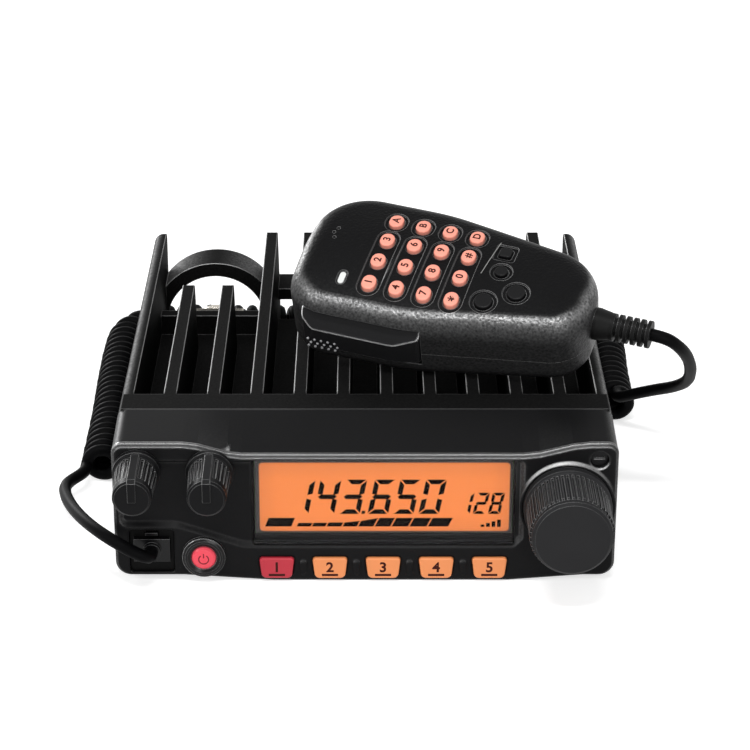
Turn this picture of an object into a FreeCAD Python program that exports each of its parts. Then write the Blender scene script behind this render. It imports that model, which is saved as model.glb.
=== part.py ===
import FreeCAD, Part
import math
import os

# A mobile radio transceiver for a car, with its hand microphone lying on the cooling fins
# and the microphone's curly cord round the back of the case.
#
# Frame: millimetres, +Z up, +X to the right seen from the front, +Y to the back. The origin
# is on the surface that the case stands on, in the middle of the bottom plate. The pieces
# are built from the panel's front backwards (y = 0 there), and moved when they are written.
# The hand microphone has a frame of its own: u runs from its head to its cord, v across
# it and w out of its key face. It is built there and then laid on the fins.

Vector = FreeCAD.Vector
Rotation = FreeCAD.Rotation
Placement = FreeCAD.Placement

# ---------------------------------------------------------------- case
case_width = 160.0
case_height = 50.0
case_depth = 185.0

panel_depth = 24.0
crossbar_thickness = 11.4
crossbar_skin = 4.4
outer_wall = 4.4
wall_edge_radius = 3.4
rear_corner_radius = 4.0
deck_height = 24.0
deck_thickness = 5.0
rear_wall = 4.0
rear_overhang = 25.0
cover_thickness = 2.0
cover_margin = 0.6

# ---------------------------------------------------------------- cooling fins
fin_side_gap = 11.88
fin_least_pitch = 14.0
fin_top_width = 4.2
fin_foot_width = 5.4
fin_tip_radius = 2.2
short_fin_count = 2
short_fin_clearance = 53.5
rear_blade_foot = 6.0
rear_bridge_depth = 15.0
rear_bridge_bottom = 27.8
rear_bridge_thickness = 4.4

# ---------------------------------------------------------------- aerial socket and vault
aerial_offset = 0.25
aerial_z = 18.7
aerial_recess_depth = 35.0
aerial_recess_wall = 5.0
aerial_recess_top = 31.6
vault_foot_cover = 0.15
vault_thickness = 5.2
aerial_flange_side = 25.4
aerial_flange_thickness = 2.6
aerial_hole_spacing = 18.2
aerial_thread_diameter = 15.88
aerial_thread_length = 15.0
aerial_bore_diameter = 12.4
aerial_bore_depth = 11.0
aerial_pin_diameter = 6.0
aerial_pin_bore = 3.9
aerial_tail_diameter = 6.0
aerial_tail_length = 12.0
aerial_tail_room = 1.0

# ---------------------------------------------------------------- rear sockets
speaker_jack_fin = 6
speaker_jack_z = 13.0
jack_bore_diameter = 3.6
jack_bush_diameter = 7.6
jack_bush_length = 4.0
jack_body_side = 9.0
jack_body_length = 12.0
power_inlet_fin = 4
power_inlet_z = 13.0
grommet_diameter = 8.4
grommet_neck = 6.4
grommet_bore = 4.6
grommet_lip = 2.0

# ---------------------------------------------------------------- side bracket holes
bracket_hole_depth = 6.0
bracket_hole_diameter = 4.0
bracket_hole_height = 11.0
bracket_hole_first = 70.0
bracket_hole_spacing = 40.0
bracket_boss_diameter = 10.0

# ---------------------------------------------------------------- screws
screw_diameter = 2.9
screw_head_diameter = 5.4
screw_head_height = 1.5
screw_length = 9.0
screw_hole_diameter = 3.0
screw_drive_width = 0.9
screw_drive_length = 3.4
screw_drive_depth = 0.7
screw_boss_diameter = 8.0
screw_sink = 0.2
cover_screw_inset = 9.5
cover_screw_front_rows = (46.0, 93.0)
cover_screw_rear_inset = 22.0
front_screw_inset = 6.0
front_screw_drop = 6.8
front_screw_recess = 1.9
front_screw_length = 25.0
front_pillar_radius = 3.8

# ---------------------------------------------------------------- front panel
shoulder_drop = 1.8
brow_drop = 5.7
brow_left_insets = (22.5, 41.0)
brow_right_insets = (30.0, 9.0)
brow_softness = 0.3
ledge_depth = 2.2
ledge_step = 0.5
panel_edge_radius = 3.4
lower_corner_radius = 5.0
side_foot = 1.9
chin_left_insets = (22.0, 50.0)
chin_right_insets = (34.0, 10.0)
face_thickness = 3.4
panel_wall = 3.0
brow_skin = 1.1
face_relief = 1.6
relief_bevel = 1.5
relief_left_inset = 1.6
relief_right_inset = 29.4
relief_drop = 6.8
relief_sill = 19.4
relief_floor = 12.2
relief_sill_inset = 20.0
relief_floor_inset = 41.0
face_chamfer = 0.9

# ---------------------------------------------------------------- display
display_left_inset = 45.6
display_right_inset = 33.7
display_bottom = 16.6
display_drop = 7.7
window_border = 1.6
window_lower_border = 4.0
window_thickness = 1.5
window_gap = 0.1
lcd_frame = 0.6
lcd_thickness = 3.2
lcd_pin_height = 2.0

# ---------------------------------------------------------------- control board and parts
control_board_front = 11.0
control_board_thickness = 1.6
control_board_margin = 4.0
control_board_bottom = 5.0
control_board_drop = 9.0
board_pads_left = ((24.0, 26.0), (24.0, 20.0))
board_pads_right = ((29.5, 8.5), (6.0, 8.5))
board_pad_radius = 2.6
switch_body_side = 4.2
switch_height = 6.3
switch_body_depth = 4.0
key_stem_gap = 0.25
pot_side = 10.0
pot_body_depth = 6.0
pot_bush_diameter = 7.4
encoder_side = 12.4
shaft_diameter = 6.0
shaft_clearance = 0.1
shaft_back = 9.5

# ---------------------------------------------------------------- small knobs
volume_inset = 8.0
squelch_inset = 31.1
small_knob_drop = 10.4
knob_front = -20.0
knob_back = -0.6
knob_face_radius = 6.1
knob_base_radius = 6.7
knob_skirt_radius = 7.6
knob_skirt_depth = 2.6
knob_edge = 0.7
knob_flutes = 24
knob_flute_depth = 0.75
knob_flute_width = 0.95
knob_flute_run = 12.0
pointer_width = 2.5
pointer_rise = 0.7
pointer_drop = 1.2
knob_hub_radius = 4.4
knob_wall = 1.4

# ---------------------------------------------------------------- main dial
dial_inset = 15.7
dial_drop = 22.8
dial_front = -23.0
dial_back = -0.9
dial_face_radius = 12.6
dial_rib_radius = 13.3
dial_skirt_radius = 14.1
dial_skirt_depth = 3.4
dial_ribs = 50
dial_rib_depth = 0.75
dial_rib_width = 0.8
dial_edge = 0.9
dial_ring_radius = 15.2
dial_ring_width = 0.8
dial_ring_rise = 1.0
dial_wall = 1.8

# ---------------------------------------------------------------- power button
power_inset = 28.4
power_z = 9.0
power_button_radius = 3.8
power_button_front = -1.9
power_dome = 0.45
power_travel = 1.0
power_ring_radius = 7.2
power_ring_rise = 1.5
power_neck_radius = 5.6
power_gap = 0.25
power_flange_radius = 4.8

# ---------------------------------------------------------------- function keys
function_keys = 5
function_key_left_inset = 51.7
function_key_right_inset = 40.1
function_key_top = 8.7
function_key_bottom = 1.5
function_key_top_spacing = 5.75
function_key_bottom_spacing = 7.45
function_key_front = -1.1
function_key_travel = 0.8
function_key_gap = 0.25
function_key_flange = 0.9
function_key_cap_overlap = 0.2
function_key_room = 0.35
function_key_corner = 1.0
function_key_round = 1.8
nub_width = 2.6
nub_height = 5.2
nub_rise = 0.8

# ---------------------------------------------------------------- microphone socket, plug
jack_inset = 11.8
jack_width = 14.0
jack_bottom = 3.2
jack_top = 18.4
jack_gap = 0.2
jack_corner = 1.0
jack_front = 1.4
jack_length = 15.0
port_width = 11.8
port_height = 8.2
port_bottom = 7.2
port_depth = 12.0
latch_width = 4.0
latch_height = 2.0
plug_gap = 0.1
plug_rear = -0.4
plug_boot_radius = 2.9
plug_boot_length = 1.6

# ---------------------------------------------------------------- inside the case
main_board_bottom = 8.0
main_board_thickness = 1.6
main_board_front = 38.0
main_board_rear_gap = 17.0
main_board_side_gap = 11.0
screening_can = (-50.0, -12.0, 55.0, 85.0, 6.0)
filter_can = (-40.0, -18.0, 96.0, 120.0, 7.0)
control_chip = (-8.0, 2.0, 110.0, 120.0, 1.6)
front_connector = (-14.0, 14.0, 38.0, 44.0, 5.0)
capacitor_places = ((20.0, 112.0), (32.0, 112.0), (44.0, 112.0))
capacitor_radius = 4.0
capacitor_height = 8.0
cable_way = (-12.0, 12.0, 9.0, 14.0)
standoff_diameter = 6.0
standoff_rows = (60.0, 120.0)
standoff_inset = 16.0
speaker_x = 30.0
speaker_y = 74.0
speaker_radius = 25.0
speaker_rim_height = 3.0
speaker_cone_height = 6.0
speaker_magnet_radius = 12.0
speaker_magnet_height = 5.0
speaker_clearance = 1.5
speaker_basket_width = 3.0
speaker_lip_width = 4.0
speaker_cone_dip = 1.2
speaker_slots = 7
speaker_slot_width = 2.4
speaker_slot_pitch = 6.2
transistor_x = (14.0, 44.0)
transistor_width = 22.0
transistor_length = 10.0
transistor_height = 5.0
transistor_rear_gap = 32.0
transistor_leg_spacing = 6.0
transistor_leg_width = 1.2
transistor_leg_thickness = 1.0
transistor_leg_inset = 2.0

# ---------------------------------------------------------------- curly cord
wire_diameter = 4.2
coil_diameter = 14.5
coil_side_gap = 11.2
coil_rear_gap = 9.6
coil_left_front = 69.5
coil_right_front = 120.0

# ---------------------------------------------------------------- hand microphone
mic_place = (19.35, 64.0)
mic_rise = 36.0
mic_yaw = -19.3
mic_pitch = 4.5
mic_roll = 25.7
mic_head = -41.8
mic_head_bulge = 1.2
mic_half_width = 27.3
mic_waist = 2.0
mic_tail = 59.2
mic_tail_half_width = 16.8
mic_head_near_corner = 15.0
mic_head_far_corner = 20.0
mic_tail_near_corner = 14.0
mic_tail_far_corner = 20.0
mic_side_bend = 80.0
mic_head_bend = 60.0
mic_crown_radius = 130.0
mic_head_depth = 31.3
mic_tail_depth = 27.0
mic_face_round = 8.0
mic_back_round = 6.5
mic_wall = 2.4
mic_seam = -16.5
mic_board_top = -8.2
mic_board_thickness = 1.6
mic_board_margin = 1.0
mic_boss_radius = 3.0
mic_screw_sink = 0.45
mic_screw_places = ((-27.0, 17.0), (-27.0, -17.0), (45.0, 10.0), (45.0, -10.0))
stud_u = -6.0
stud_v = 0.0
stud_length = 8.0
stud_neck_radius = 3.6
stud_flange_radius = 6.2
stud_flange_height = 2.2
stud_foot_radius = 5.2
stud_foot_height = 1.2

keypad_pitch = 9.5
keypad_v = 0.0
keypad_width = 4.8
keypad_length = 5.8
keypad_rise = 1.0
keypad_gap = 0.25
keypad_travel = 0.7
keypad_clearance = 0.95
recess_depth = 0.6
recess_width = 7.8
recess_column_length = 28.9
recess_letter_length = 8.9
program_recess_margin = 1.6
program_rise = 0.7
program_corner = 1.0
program_keys = ((25.5, 10.0, 2.1, True), (26.6, 1.4, 2.2, False),
                (24.6, -12.1, 3.0, False), (34.0, -6.2, 3.0, False))
lens_u = -23.9
lens_v = -14.0
lens_width = 2.0
lens_length = 4.6
lens_recess_margin = 0.6
sound_hole_places = ((-32.12, 1.8), (-33.0, 4.0), (-32.12, 6.2))
sound_hole_radius = 0.55
capsule_place = (-31.0, 4.0)
capsule_radius = 4.8
capsule_height = 4.0
side_switch_u = 19.5
side_switch_w = -11.0
side_switch_length = 5.0
side_switch_height = 3.4
side_switch_rise = 1.0
side_switch_travel = 2.0
side_switch_gap = 0.25

lever_head_end = -34.6
lever_tail_end = 6.6
lever_top = -6.6
lever_bottom = -21.4
lever_crest_head = -12.6
lever_crest_tail = -12.6
lever_rise = 1.6
lever_end_sink = 0.6
lever_ramp = 4.0
lever_crest_end = -2.0
lever_inner_v = -22.6
lever_gap = 0.35
lever_stroke = 2.4
lever_pivot_u = 3.4
lever_pivot_radius = 1.5
lever_pivot_gap = 0.1
push_switch_u = -17.0
push_switch_side = 6.0
push_switch_height = 4.5

boot_v = -1.5
boot_w = -12.5
boot_length = 19.0
boot_ribs = 6
boot_rib_radius = 4.6
boot_core_radius = 3.3
boot_collar_radius = 5.4
boot_collar_length = 1.2
boot_neck_length = 5.6
boot_rib_width = 1.3
boot_seat_gap = 0.05

# ---------------------------------------------------------------- sizes worked out
half_width = case_width / 2
crossbar_back = panel_depth + crossbar_thickness
inner_half_width = half_width - outer_wall
deck_ceiling = deck_height - deck_thickness
bridge_front = case_depth - rear_bridge_depth
rear_wall_back = case_depth - rear_overhang
short_fin_end = case_depth - short_fin_clearance
fin_span = 2 * (inner_half_width - fin_side_gap)
fin_count = int(fin_span / fin_least_pitch) + 1
fin_pitch = fin_span / (fin_count - 1)
fin_positions = [(i - (fin_count - 1) / 2) * fin_pitch for i in range(fin_count)]
aerial_recess_left = -inner_half_width
aerial_recess_right = fin_positions[short_fin_count] - fin_foot_width / 2
aerial_recess_front = case_depth - aerial_recess_depth
aerial_x = (aerial_recess_left + aerial_recess_right) / 2 + aerial_offset
vault_inner_radius = (aerial_recess_right - aerial_recess_left) / 2 - vault_foot_cover
vault_outer_radius = vault_inner_radius + vault_thickness
power_inlet_x = fin_positions[power_inlet_fin] + fin_pitch / 2
speaker_jack_x = fin_positions[speaker_jack_fin] + fin_pitch / 2
cover_front = panel_depth + cover_margin
cover_back = rear_wall_back - cover_margin
cover_screw_rows = cover_screw_front_rows + (rear_wall_back - cover_screw_rear_inset,)
front_screw_x = half_width - front_screw_inset
front_screw_z = case_height - front_screw_drop
shoulder_height = case_height - shoulder_drop
brow_height = case_height - brow_drop
brow_left = [inset - half_width for inset in brow_left_insets]
brow_right = [half_width - inset for inset in brow_right_insets]
chin_left = [inset - half_width for inset in chin_left_insets]
chin_right = [half_width - inset for inset in chin_right_insets]
relief_left = relief_left_inset - half_width
relief_right = half_width - relief_right_inset
relief_top = case_height - relief_drop
relief_sill_end = relief_sill_inset - half_width
relief_floor_start = relief_floor_inset - half_width
display_left = display_left_inset - half_width
display_right = half_width - display_right_inset
display_top = case_height - display_drop
control_board_top = case_height - control_board_drop
board_pads = [(inset - half_width, z) for inset, z in board_pads_left]
board_pads += [(half_width - inset, z) for inset, z in board_pads_right]
volume_x = volume_inset - half_width
squelch_x = squelch_inset - half_width
small_knob_z = case_height - small_knob_drop
dial_x = half_width - dial_inset
dial_z = case_height - dial_drop
power_x = power_inset - half_width
function_key_first_x = function_key_left_inset - half_width
function_key_last_x = half_width - function_key_right_inset
function_key_pitch = (function_key_last_x - function_key_first_x) / (function_keys - 1)
function_key_top_width = function_key_pitch - function_key_top_spacing
function_key_bottom_width = function_key_pitch - function_key_bottom_spacing
jack_x = jack_inset - half_width
jack_left = jack_x - jack_width / 2
jack_right = jack_x + jack_width / 2
wire_radius = wire_diameter / 2
coil_radius = coil_diameter / 2
coil_height = coil_radius + 0.05
coil_wire_offset = coil_radius - wire_radius
coil_left = -half_width - coil_side_gap
coil_right = half_width + coil_side_gap
coil_rear = case_depth + coil_rear_gap
control_board_back = control_board_front + control_board_thickness
main_board_top = main_board_bottom + main_board_thickness
main_board_back = rear_wall_back - main_board_rear_gap
main_board_half_width = half_width - main_board_side_gap
standoff_x = half_width - standoff_inset
transistor_y = rear_wall_back - transistor_rear_gap
dial_ring_inner = dial_ring_radius - dial_ring_width
mic_centre = Vector(mic_place[0], mic_place[1], case_height + mic_rise)
mic_placement = Placement(mic_centre, Rotation(mic_yaw, mic_pitch, mic_roll))
mic_board_bottom = mic_board_top - mic_board_thickness

ALONG_X = Vector(1, 0, 0)
ALONG_Y = Vector(0, 1, 0)
ALONG_Z = Vector(0, 0, 1)
EPSILON = 0.01
REACH = 400.0


# ================================================================ helpers
def block(x0, x1, y0, y1, z0, z1):
    """Box between two corners."""
    return Part.makeBox(x1 - x0, y1 - y0, z1 - z0, Vector(x0, y0, z0))


def rod(x, y0, y1, z, radius):
    """Round bar along Y."""
    return Part.makeCylinder(radius, y1 - y0, Vector(x, y0, z), ALONG_Y)


def post(x, y, z0, z1, radius):
    """Round bar along Z."""
    return Part.makeCylinder(radius, z1 - z0, Vector(x, y, z0), ALONG_Z)


def bar(x0, x1, y, z, radius):
    """Round bar along X."""
    return Part.makeCylinder(radius, x1 - x0, Vector(x0, y, z), ALONG_X)


def xz(points, y):
    """Points of a front view outline at depth y."""
    return [Vector(x, y, z) for x, z in points]


def yz(points, x):
    """Points of a side view outline at width x."""
    return [Vector(x, y, z) for y, z in points]


def xy(points, z):
    """Points of a plan outline at height z."""
    return [Vector(x, y, z) for x, y in points]


def polygon_face(points):
    """Flat face with straight edges."""
    return Part.Face(Part.makePolygon(points + [points[0]]))


def corner_arc(before, corner, after, radius):
    """Start, middle and end of the arc of one radius that rounds a corner."""
    inward = (before - corner).normalize()
    outward = (after - corner).normalize()
    half_turn = (math.pi - inward.getAngle(outward)) / 2
    setback = radius * math.tan(half_turn)
    bisector = (inward + outward).normalize()
    middle = corner + bisector * (radius / math.cos(half_turn) - radius)
    return corner + inward * setback, middle, corner + outward * setback


def rounded_wire(points, radii):
    """Closed outline whose corners are rounded, each by its own radius (0 is sharp)."""
    count = len(points)
    stretches = []
    for i, (corner, radius) in enumerate(zip(points, radii)):
        if radius > 0:
            arc = corner_arc(points[i - 1], corner, points[(i + 1) % count], radius)
        else:
            arc = (corner, None, corner)
        stretches.append(arc)
    edges = []
    for i, (start, middle, end) in enumerate(stretches):
        if middle is not None:
            edges.append(Part.Arc(start, middle, end).toShape())
        following = stretches[(i + 1) % count][0]
        if (following - end).Length > EPSILON:
            edges.append(Part.LineSegment(end, following).toShape())
    return Part.Wire(edges)


def rounded_prism(points, radii, depth):
    """Solid of a rounded outline, pushed along a vector."""
    return Part.Face(rounded_wire(points, radii)).extrude(depth)


def rounded_block(x0, x1, y0, y1, z0, z1, radius):
    """Box along Y whose four long edges are rounded."""
    corners = xz([(x0, z0), (x1, z0), (x1, z1), (x0, z1)], y0)
    return rounded_prism(corners, [radius] * 4, Vector(0, y1 - y0, 0))


def turned(profile, x, z):
    """Solid turned about an axis along Y, from (radius, y) points."""
    points = [Vector(radius, y, 0) for radius, y in profile]
    solid = polygon_face(points).revolve(Vector(0, 0, 0), ALONG_Y, 360)
    solid.translate(Vector(x, 0, z))
    return solid


def fillet_where(shape, radius, wanted):
    """Round the edges whose middle passes a test."""
    edges = [edge for edge in shape.Edges if wanted(edge.CenterOfMass, edge)]
    return shape.makeFillet(radius, edges)


def fuse(pieces):
    """One solid from overlapping pieces, with the seams between them removed."""
    whole = pieces[0].multiFuse(pieces[1:]).removeSplitter()
    return whole


def cut(shape, tools):
    """A solid less several others."""
    return shape.cut(tools[0].multiFuse(tools[1:]) if len(tools) > 1 else tools[0])


def tube_along(points, diameter, name):
    """Round tube on straight runs joined by tangent arcs, and its radii printed."""
    edges = []
    radii = []
    last = points[0]
    for before, corner, after in zip(points, points[1:], points[2:]):
        shorter = min((corner - before).Length, (after - corner).Length)
        half_turn = (corner - before).getAngle(after - corner) / 2
        radius = 0.45 * shorter / math.tan(half_turn)
        start, middle, end = corner_arc(before, corner, after, radius)
        edges.append(Part.LineSegment(last, start).toShape())
        edges.append(Part.Arc(start, middle, end).toShape())
        radii.append(round(radius, 1))
        last = end
    edges.append(Part.LineSegment(last, points[-1]).toShape())
    path = Part.Wire(edges)
    section = Part.Circle(points[0], points[1] - points[0], diameter / 2).toShape()
    tube = path.makePipeShell([Part.Wire([section])], True, False)
    expected = math.pi * diameter**2 / 4 * path.Length
    print(name, "length", round(path.Length, 1), "radii", radii)
    print(name, "volume ratio", round(tube.Volume / expected, 4))
    return tube


def screw(head_centre, direction, length):
    """Slotted pan-head screw: its head's outer face is at head_centre."""
    head = Part.makeCylinder(screw_head_diameter / 2, screw_head_height, head_centre, direction)
    shank_start = head_centre + direction * screw_head_height
    shank = Part.makeCylinder(screw_diameter / 2, length, shank_start, direction)
    slot_size = Vector(screw_drive_length, screw_drive_width, screw_drive_depth)
    slot = Part.makeBox(slot_size.x, slot_size.y, slot_size.z)
    slot.translate(Vector(-slot_size.x / 2, -slot_size.y / 2, 0))
    slot.Placement = Placement(head_centre, Rotation(ALONG_Z, direction)) * slot.Placement
    return fuse([head, shank]).cut(slot)


# ================================================================ chassis
def cooling_fin(x, y_end):
    """Drafted blade from the deck to the top of the case, its rear tip rounded."""
    half_foot = fin_foot_width / 2
    half_top = fin_top_width / 2
    foot = deck_height - EPSILON
    outline = [(x - half_foot, foot), (x + half_foot, foot)]
    outline += [(x + half_top, case_height), (x - half_top, case_height)]
    start = crossbar_back - 1.0
    blade = polygon_face(xz(outline, start)).extrude(Vector(0, y_end - start, 0))

    def at_tip(middle, edge):
        return middle.y > y_end - EPSILON and middle.z > case_height - EPSILON

    return fillet_where(blade, fin_tip_radius, at_tip)


def outer_side_wall(side):
    """Side wall of the casting, rounded along its top outer edge and its rear corner."""
    inner = side * inner_half_width
    outer = side * half_width
    wall = block(min(inner, outer), max(inner, outer), panel_depth, case_depth,
                 cover_thickness, case_height)

    def at_rear_corner(middle, edge):
        return middle.y > case_depth - EPSILON and middle.z > case_height - EPSILON

    def along_top(middle, edge):
        return abs(middle.x) > half_width - EPSILON and middle.z > case_height - EPSILON

    wall = fillet_where(wall, rear_corner_radius, at_rear_corner)
    return fillet_where(wall, wall_edge_radius, along_top)


def cover_screw_places():
    """Centres of the screws that hold the bottom cover."""
    across = half_width - cover_screw_inset
    return [(side * across, y) for y in cover_screw_rows for side in (-1, 1)]


def bracket_holes():
    """Threaded holes in both sides for the car's mounting bracket."""
    holes = []
    for side in (-1, 1):
        for i in range(2):
            y = bracket_hole_first + i * bracket_hole_spacing
            x0 = side * (half_width + 1) if side < 0 else half_width - bracket_hole_depth
            radius = bracket_hole_diameter / 2
            hole = bar(x0, x0 + bracket_hole_depth + 1, y, bracket_hole_height, radius)
            holes.append(hole)
    return holes


def bracket_bosses():
    """Thickened places on the inside of the side walls, for the bracket's screws."""
    bosses = []
    reach = bracket_hole_depth + 1.5
    for side in (-1, 1):
        for i in range(2):
            y = bracket_hole_first + i * bracket_hole_spacing
            x0 = -half_width + 1 if side < 0 else half_width - reach
            radius = bracket_boss_diameter / 2
            boss = bar(x0, x0 + reach - 1, y, bracket_hole_height, radius)
            bosses.append(boss)
    return bosses


def aerial_vault():
    """Half-round bridge over the aerial socket, between a side wall and a fin."""
    ring = rod(aerial_x, bridge_front, case_depth, aerial_z, vault_outer_radius)
    hollow = rod(aerial_x, bridge_front - 1, case_depth + 1, aerial_z, vault_inner_radius)
    left = -half_width + 1
    right = fin_positions[short_fin_count] + fin_top_width / 2 - EPSILON
    upper = block(left, right, bridge_front, case_depth, aerial_z, case_height)
    return ring.cut(hollow).common(upper)


def aerial_recess():
    """Space under the vault where the aerial's plug goes."""
    return block(aerial_recess_left, aerial_recess_right, aerial_recess_front, case_depth + 1,
                 cover_thickness - 1, case_height + 1)


def heat_sink_chassis():
    """Cast aluminium chassis: deck, fins, side walls, crossbar and rear blades."""
    deck = block(-half_width, half_width, panel_depth, rear_wall_back,
                 cover_thickness, deck_height)
    crossbar = block(-half_width + 1, half_width - 1, panel_depth, crossbar_back,
                     cover_thickness, case_height)
    pieces = [deck, crossbar, outer_side_wall(-1), outer_side_wall(1)]
    for i, x in enumerate(fin_positions):
        y_end = short_fin_end if i < short_fin_count else case_depth
        pieces.append(cooling_fin(x, y_end))
        if i >= short_fin_count:
            half_foot = fin_foot_width / 2
            pieces.append(block(x - half_foot, x + half_foot, rear_wall_back - 1, case_depth,
                                rear_blade_foot, deck_height))
    bridge_left = fin_positions[short_fin_count]
    pieces.append(block(bridge_left, inner_half_width + 1, bridge_front, case_depth,
                        rear_bridge_bottom, rear_bridge_bottom + rear_bridge_thickness))
    pieces.append(aerial_vault())
    recess_wall_front = aerial_recess_front - aerial_recess_wall
    recess_wall = block(-half_width + 1, bridge_left, recess_wall_front,
                        aerial_recess_front, cover_thickness, aerial_recess_top)
    pieces.append(recess_wall)
    casting = fuse(pieces)

    cavity = block(-inner_half_width, inner_half_width, crossbar_back, rear_wall_back - rear_wall,
                   cover_thickness - 1, deck_ceiling)
    kept_wall = block(-half_width, bridge_left + fin_foot_width / 2, recess_wall_front,
                      rear_wall_back, 0, deck_height)
    front_pocket = block(-inner_half_width, inner_half_width, panel_depth - 1,
                         crossbar_back - crossbar_skin, cover_thickness + 3,
                         case_height - crossbar_skin)
    left, right, low, high = cable_way
    cable_gap = block(left, right, panel_depth, crossbar_back + 1, low, high)
    recess = aerial_recess().common(block(-half_width, half_width, 0, REACH, 0, aerial_z))
    upper_recess = aerial_recess().common(
        block(-half_width, half_width, 0, bridge_front, aerial_z - 1, REACH))
    casting = cut(casting, [cavity.cut(kept_wall), front_pocket, cable_gap, recess, upper_recess])

    bosses = bracket_bosses()
    boss_back = crossbar_back - crossbar_skin + 1
    bosses.append(rod(front_screw_x, panel_depth, boss_back, front_screw_z, front_pillar_radius))
    for x, y in cover_screw_places():
        bosses.append(post(x, y, cover_thickness, deck_ceiling + 1, screw_boss_diameter / 2))
    for y in standoff_rows:
        for side in (-1, 1):
            bosses.append(post(side * standoff_x, y, main_board_top, deck_ceiling + 1,
                               standoff_diameter / 2))
    casting = fuse([casting] + bosses)

    holes = bracket_holes()
    front_hole_end = front_screw_recess + screw_head_height + front_screw_length + 1
    holes.append(rod(front_screw_x, panel_depth - 1, front_hole_end, front_screw_z,
                     screw_hole_diameter / 2))
    for x, y in cover_screw_places():
        holes.append(post(x, y, cover_thickness - 1, screw_length + cover_thickness + 1,
                          screw_hole_diameter / 2))
    holes.append(rod(aerial_x, aerial_recess_front - aerial_tail_length - aerial_tail_room,
                     aerial_recess_front + 1, aerial_z,
                     aerial_tail_diameter / 2 + aerial_tail_room))
    holes.append(rod(speaker_jack_x, rear_wall_back - rear_wall - 1, rear_wall_back + 1,
                     speaker_jack_z, jack_bush_diameter / 2))
    holes.append(rod(power_inlet_x, rear_wall_back - rear_wall - 1, rear_wall_back + 1,
                     power_inlet_z, grommet_neck / 2))
    return cut(casting, holes)


def bottom_cover():
    """Pressed bottom plate with the speaker's slots and the screw holes."""
    margin = cover_margin
    corners = xy([(-half_width + margin, cover_front), (half_width - margin, cover_front),
                  (half_width - margin, cover_back), (-half_width + margin, cover_back)], 0)
    plate = rounded_prism(corners, [4.0] * 4, Vector(0, 0, cover_thickness))
    tools = []
    for x, y in cover_screw_places():
        tools.append(post(x, y, -1, cover_thickness + 1, screw_hole_diameter / 2 + 0.15))
        tools.append(post(x, y, -1, screw_head_height + 0.2, screw_head_diameter / 2 + 0.2))
    for i in range(speaker_slots):
        offset = (i - (speaker_slots - 1) / 2) * speaker_slot_pitch
        half_run = math.sqrt((speaker_radius - 3) ** 2 - offset**2)
        half_slot = speaker_slot_width / 2
        outline = [(speaker_x - half_run, speaker_y + offset - half_slot),
                   (speaker_x + half_run, speaker_y + offset - half_slot),
                   (speaker_x + half_run, speaker_y + offset + half_slot),
                   (speaker_x - half_run, speaker_y + offset + half_slot)]
        tools.append(rounded_prism(xy(outline, -1), [half_slot - 0.05] * 4,
                                   Vector(0, 0, cover_thickness + 2)))
    return cut(plate, tools)


def case_screws():
    """Every screw of the case: the bottom cover's six and the panel's one."""
    screws = []
    for x, y in cover_screw_places():
        screws.append(screw(Vector(x, y, screw_sink), ALONG_Z, screw_length))
    front_head = Vector(front_screw_x, front_screw_recess, front_screw_z)
    screws.append(screw(front_head, ALONG_Y, front_screw_length))
    return Part.makeCompound(screws)


# ================================================================ front panel
def brow_outline(y, lift, straight):
    """Front view of the panel at one depth; its top edge follows the wavy brow.

    The top edge dips between the shoulders, or is straight at the back of the hood.
    """
    side = half_width
    shoulder = case_height if straight else shoulder_height + lift
    brow = case_height if straight else brow_height + lift
    left_mid = sum(brow_left) / 2
    right_mid = sum(brow_right) / 2
    left_quarter = (brow_left[1] - brow_left[0]) / 4
    right_quarter = (brow_right[1] - brow_right[0]) / 4
    points = [(-side, side_foot), (chin_left[0], side_foot), (chin_left[1], 0)]
    points += [(chin_right[0], 0), (chin_right[1], side_foot), (side, side_foot)]
    points += [(side, shoulder), (brow_right[1], shoulder)]
    middle = (shoulder + brow) / 2
    near_shoulder = shoulder + (middle - shoulder) * brow_softness
    near_brow = brow + (middle - brow) * brow_softness
    points += [(right_mid + right_quarter, near_shoulder), (right_mid, middle)]
    points += [(right_mid - right_quarter, near_brow), (brow_right[0], brow)]
    points += [(brow_left[1], brow), (left_mid + left_quarter, near_brow)]
    points += [(left_mid, middle), (left_mid - left_quarter, near_shoulder)]
    points += [(brow_left[0], shoulder), (-side, shoulder)]
    return xz(points, y)


def rounded_side_edges(shape):
    """Round the lower corners of the panel and the upper edges of its sides."""

    def lower_corner(middle, edge):
        return abs(middle.x) > half_width - EPSILON and abs(middle.z - side_foot) < EPSILON

    def upper_side(middle, edge):
        low = shoulder_height - EPSILON
        return (abs(middle.x) > half_width - EPSILON and middle.z > low
                and edge.BoundBox.YLength > ledge_depth / 2)

    shape = fillet_where(shape, lower_corner_radius, lower_corner)
    return fillet_where(shape, panel_edge_radius, upper_side)


def panel_body():
    """Outside of the moulded front: the lofted hood and the proud face before it."""
    hood_front = brow_outline(ledge_depth, 0, False)
    hood_back = brow_outline(panel_depth, 0, True)
    wires = [Part.makePolygon(points + [points[0]]) for points in (hood_front, hood_back)]
    hood = rounded_side_edges(Part.makeLoft(wires, True, True))
    face = polygon_face(brow_outline(0, ledge_step, False)).extrude(Vector(0, ledge_depth, 0))
    face = rounded_side_edges(face)
    rim = [edge for edge in face.Edges
           if edge.BoundBox.YMax < EPSILON and edge.CenterOfMass.z > side_foot + EPSILON]
    return fuse([hood, face.makeChamfer(face_chamfer, rim)])


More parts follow.
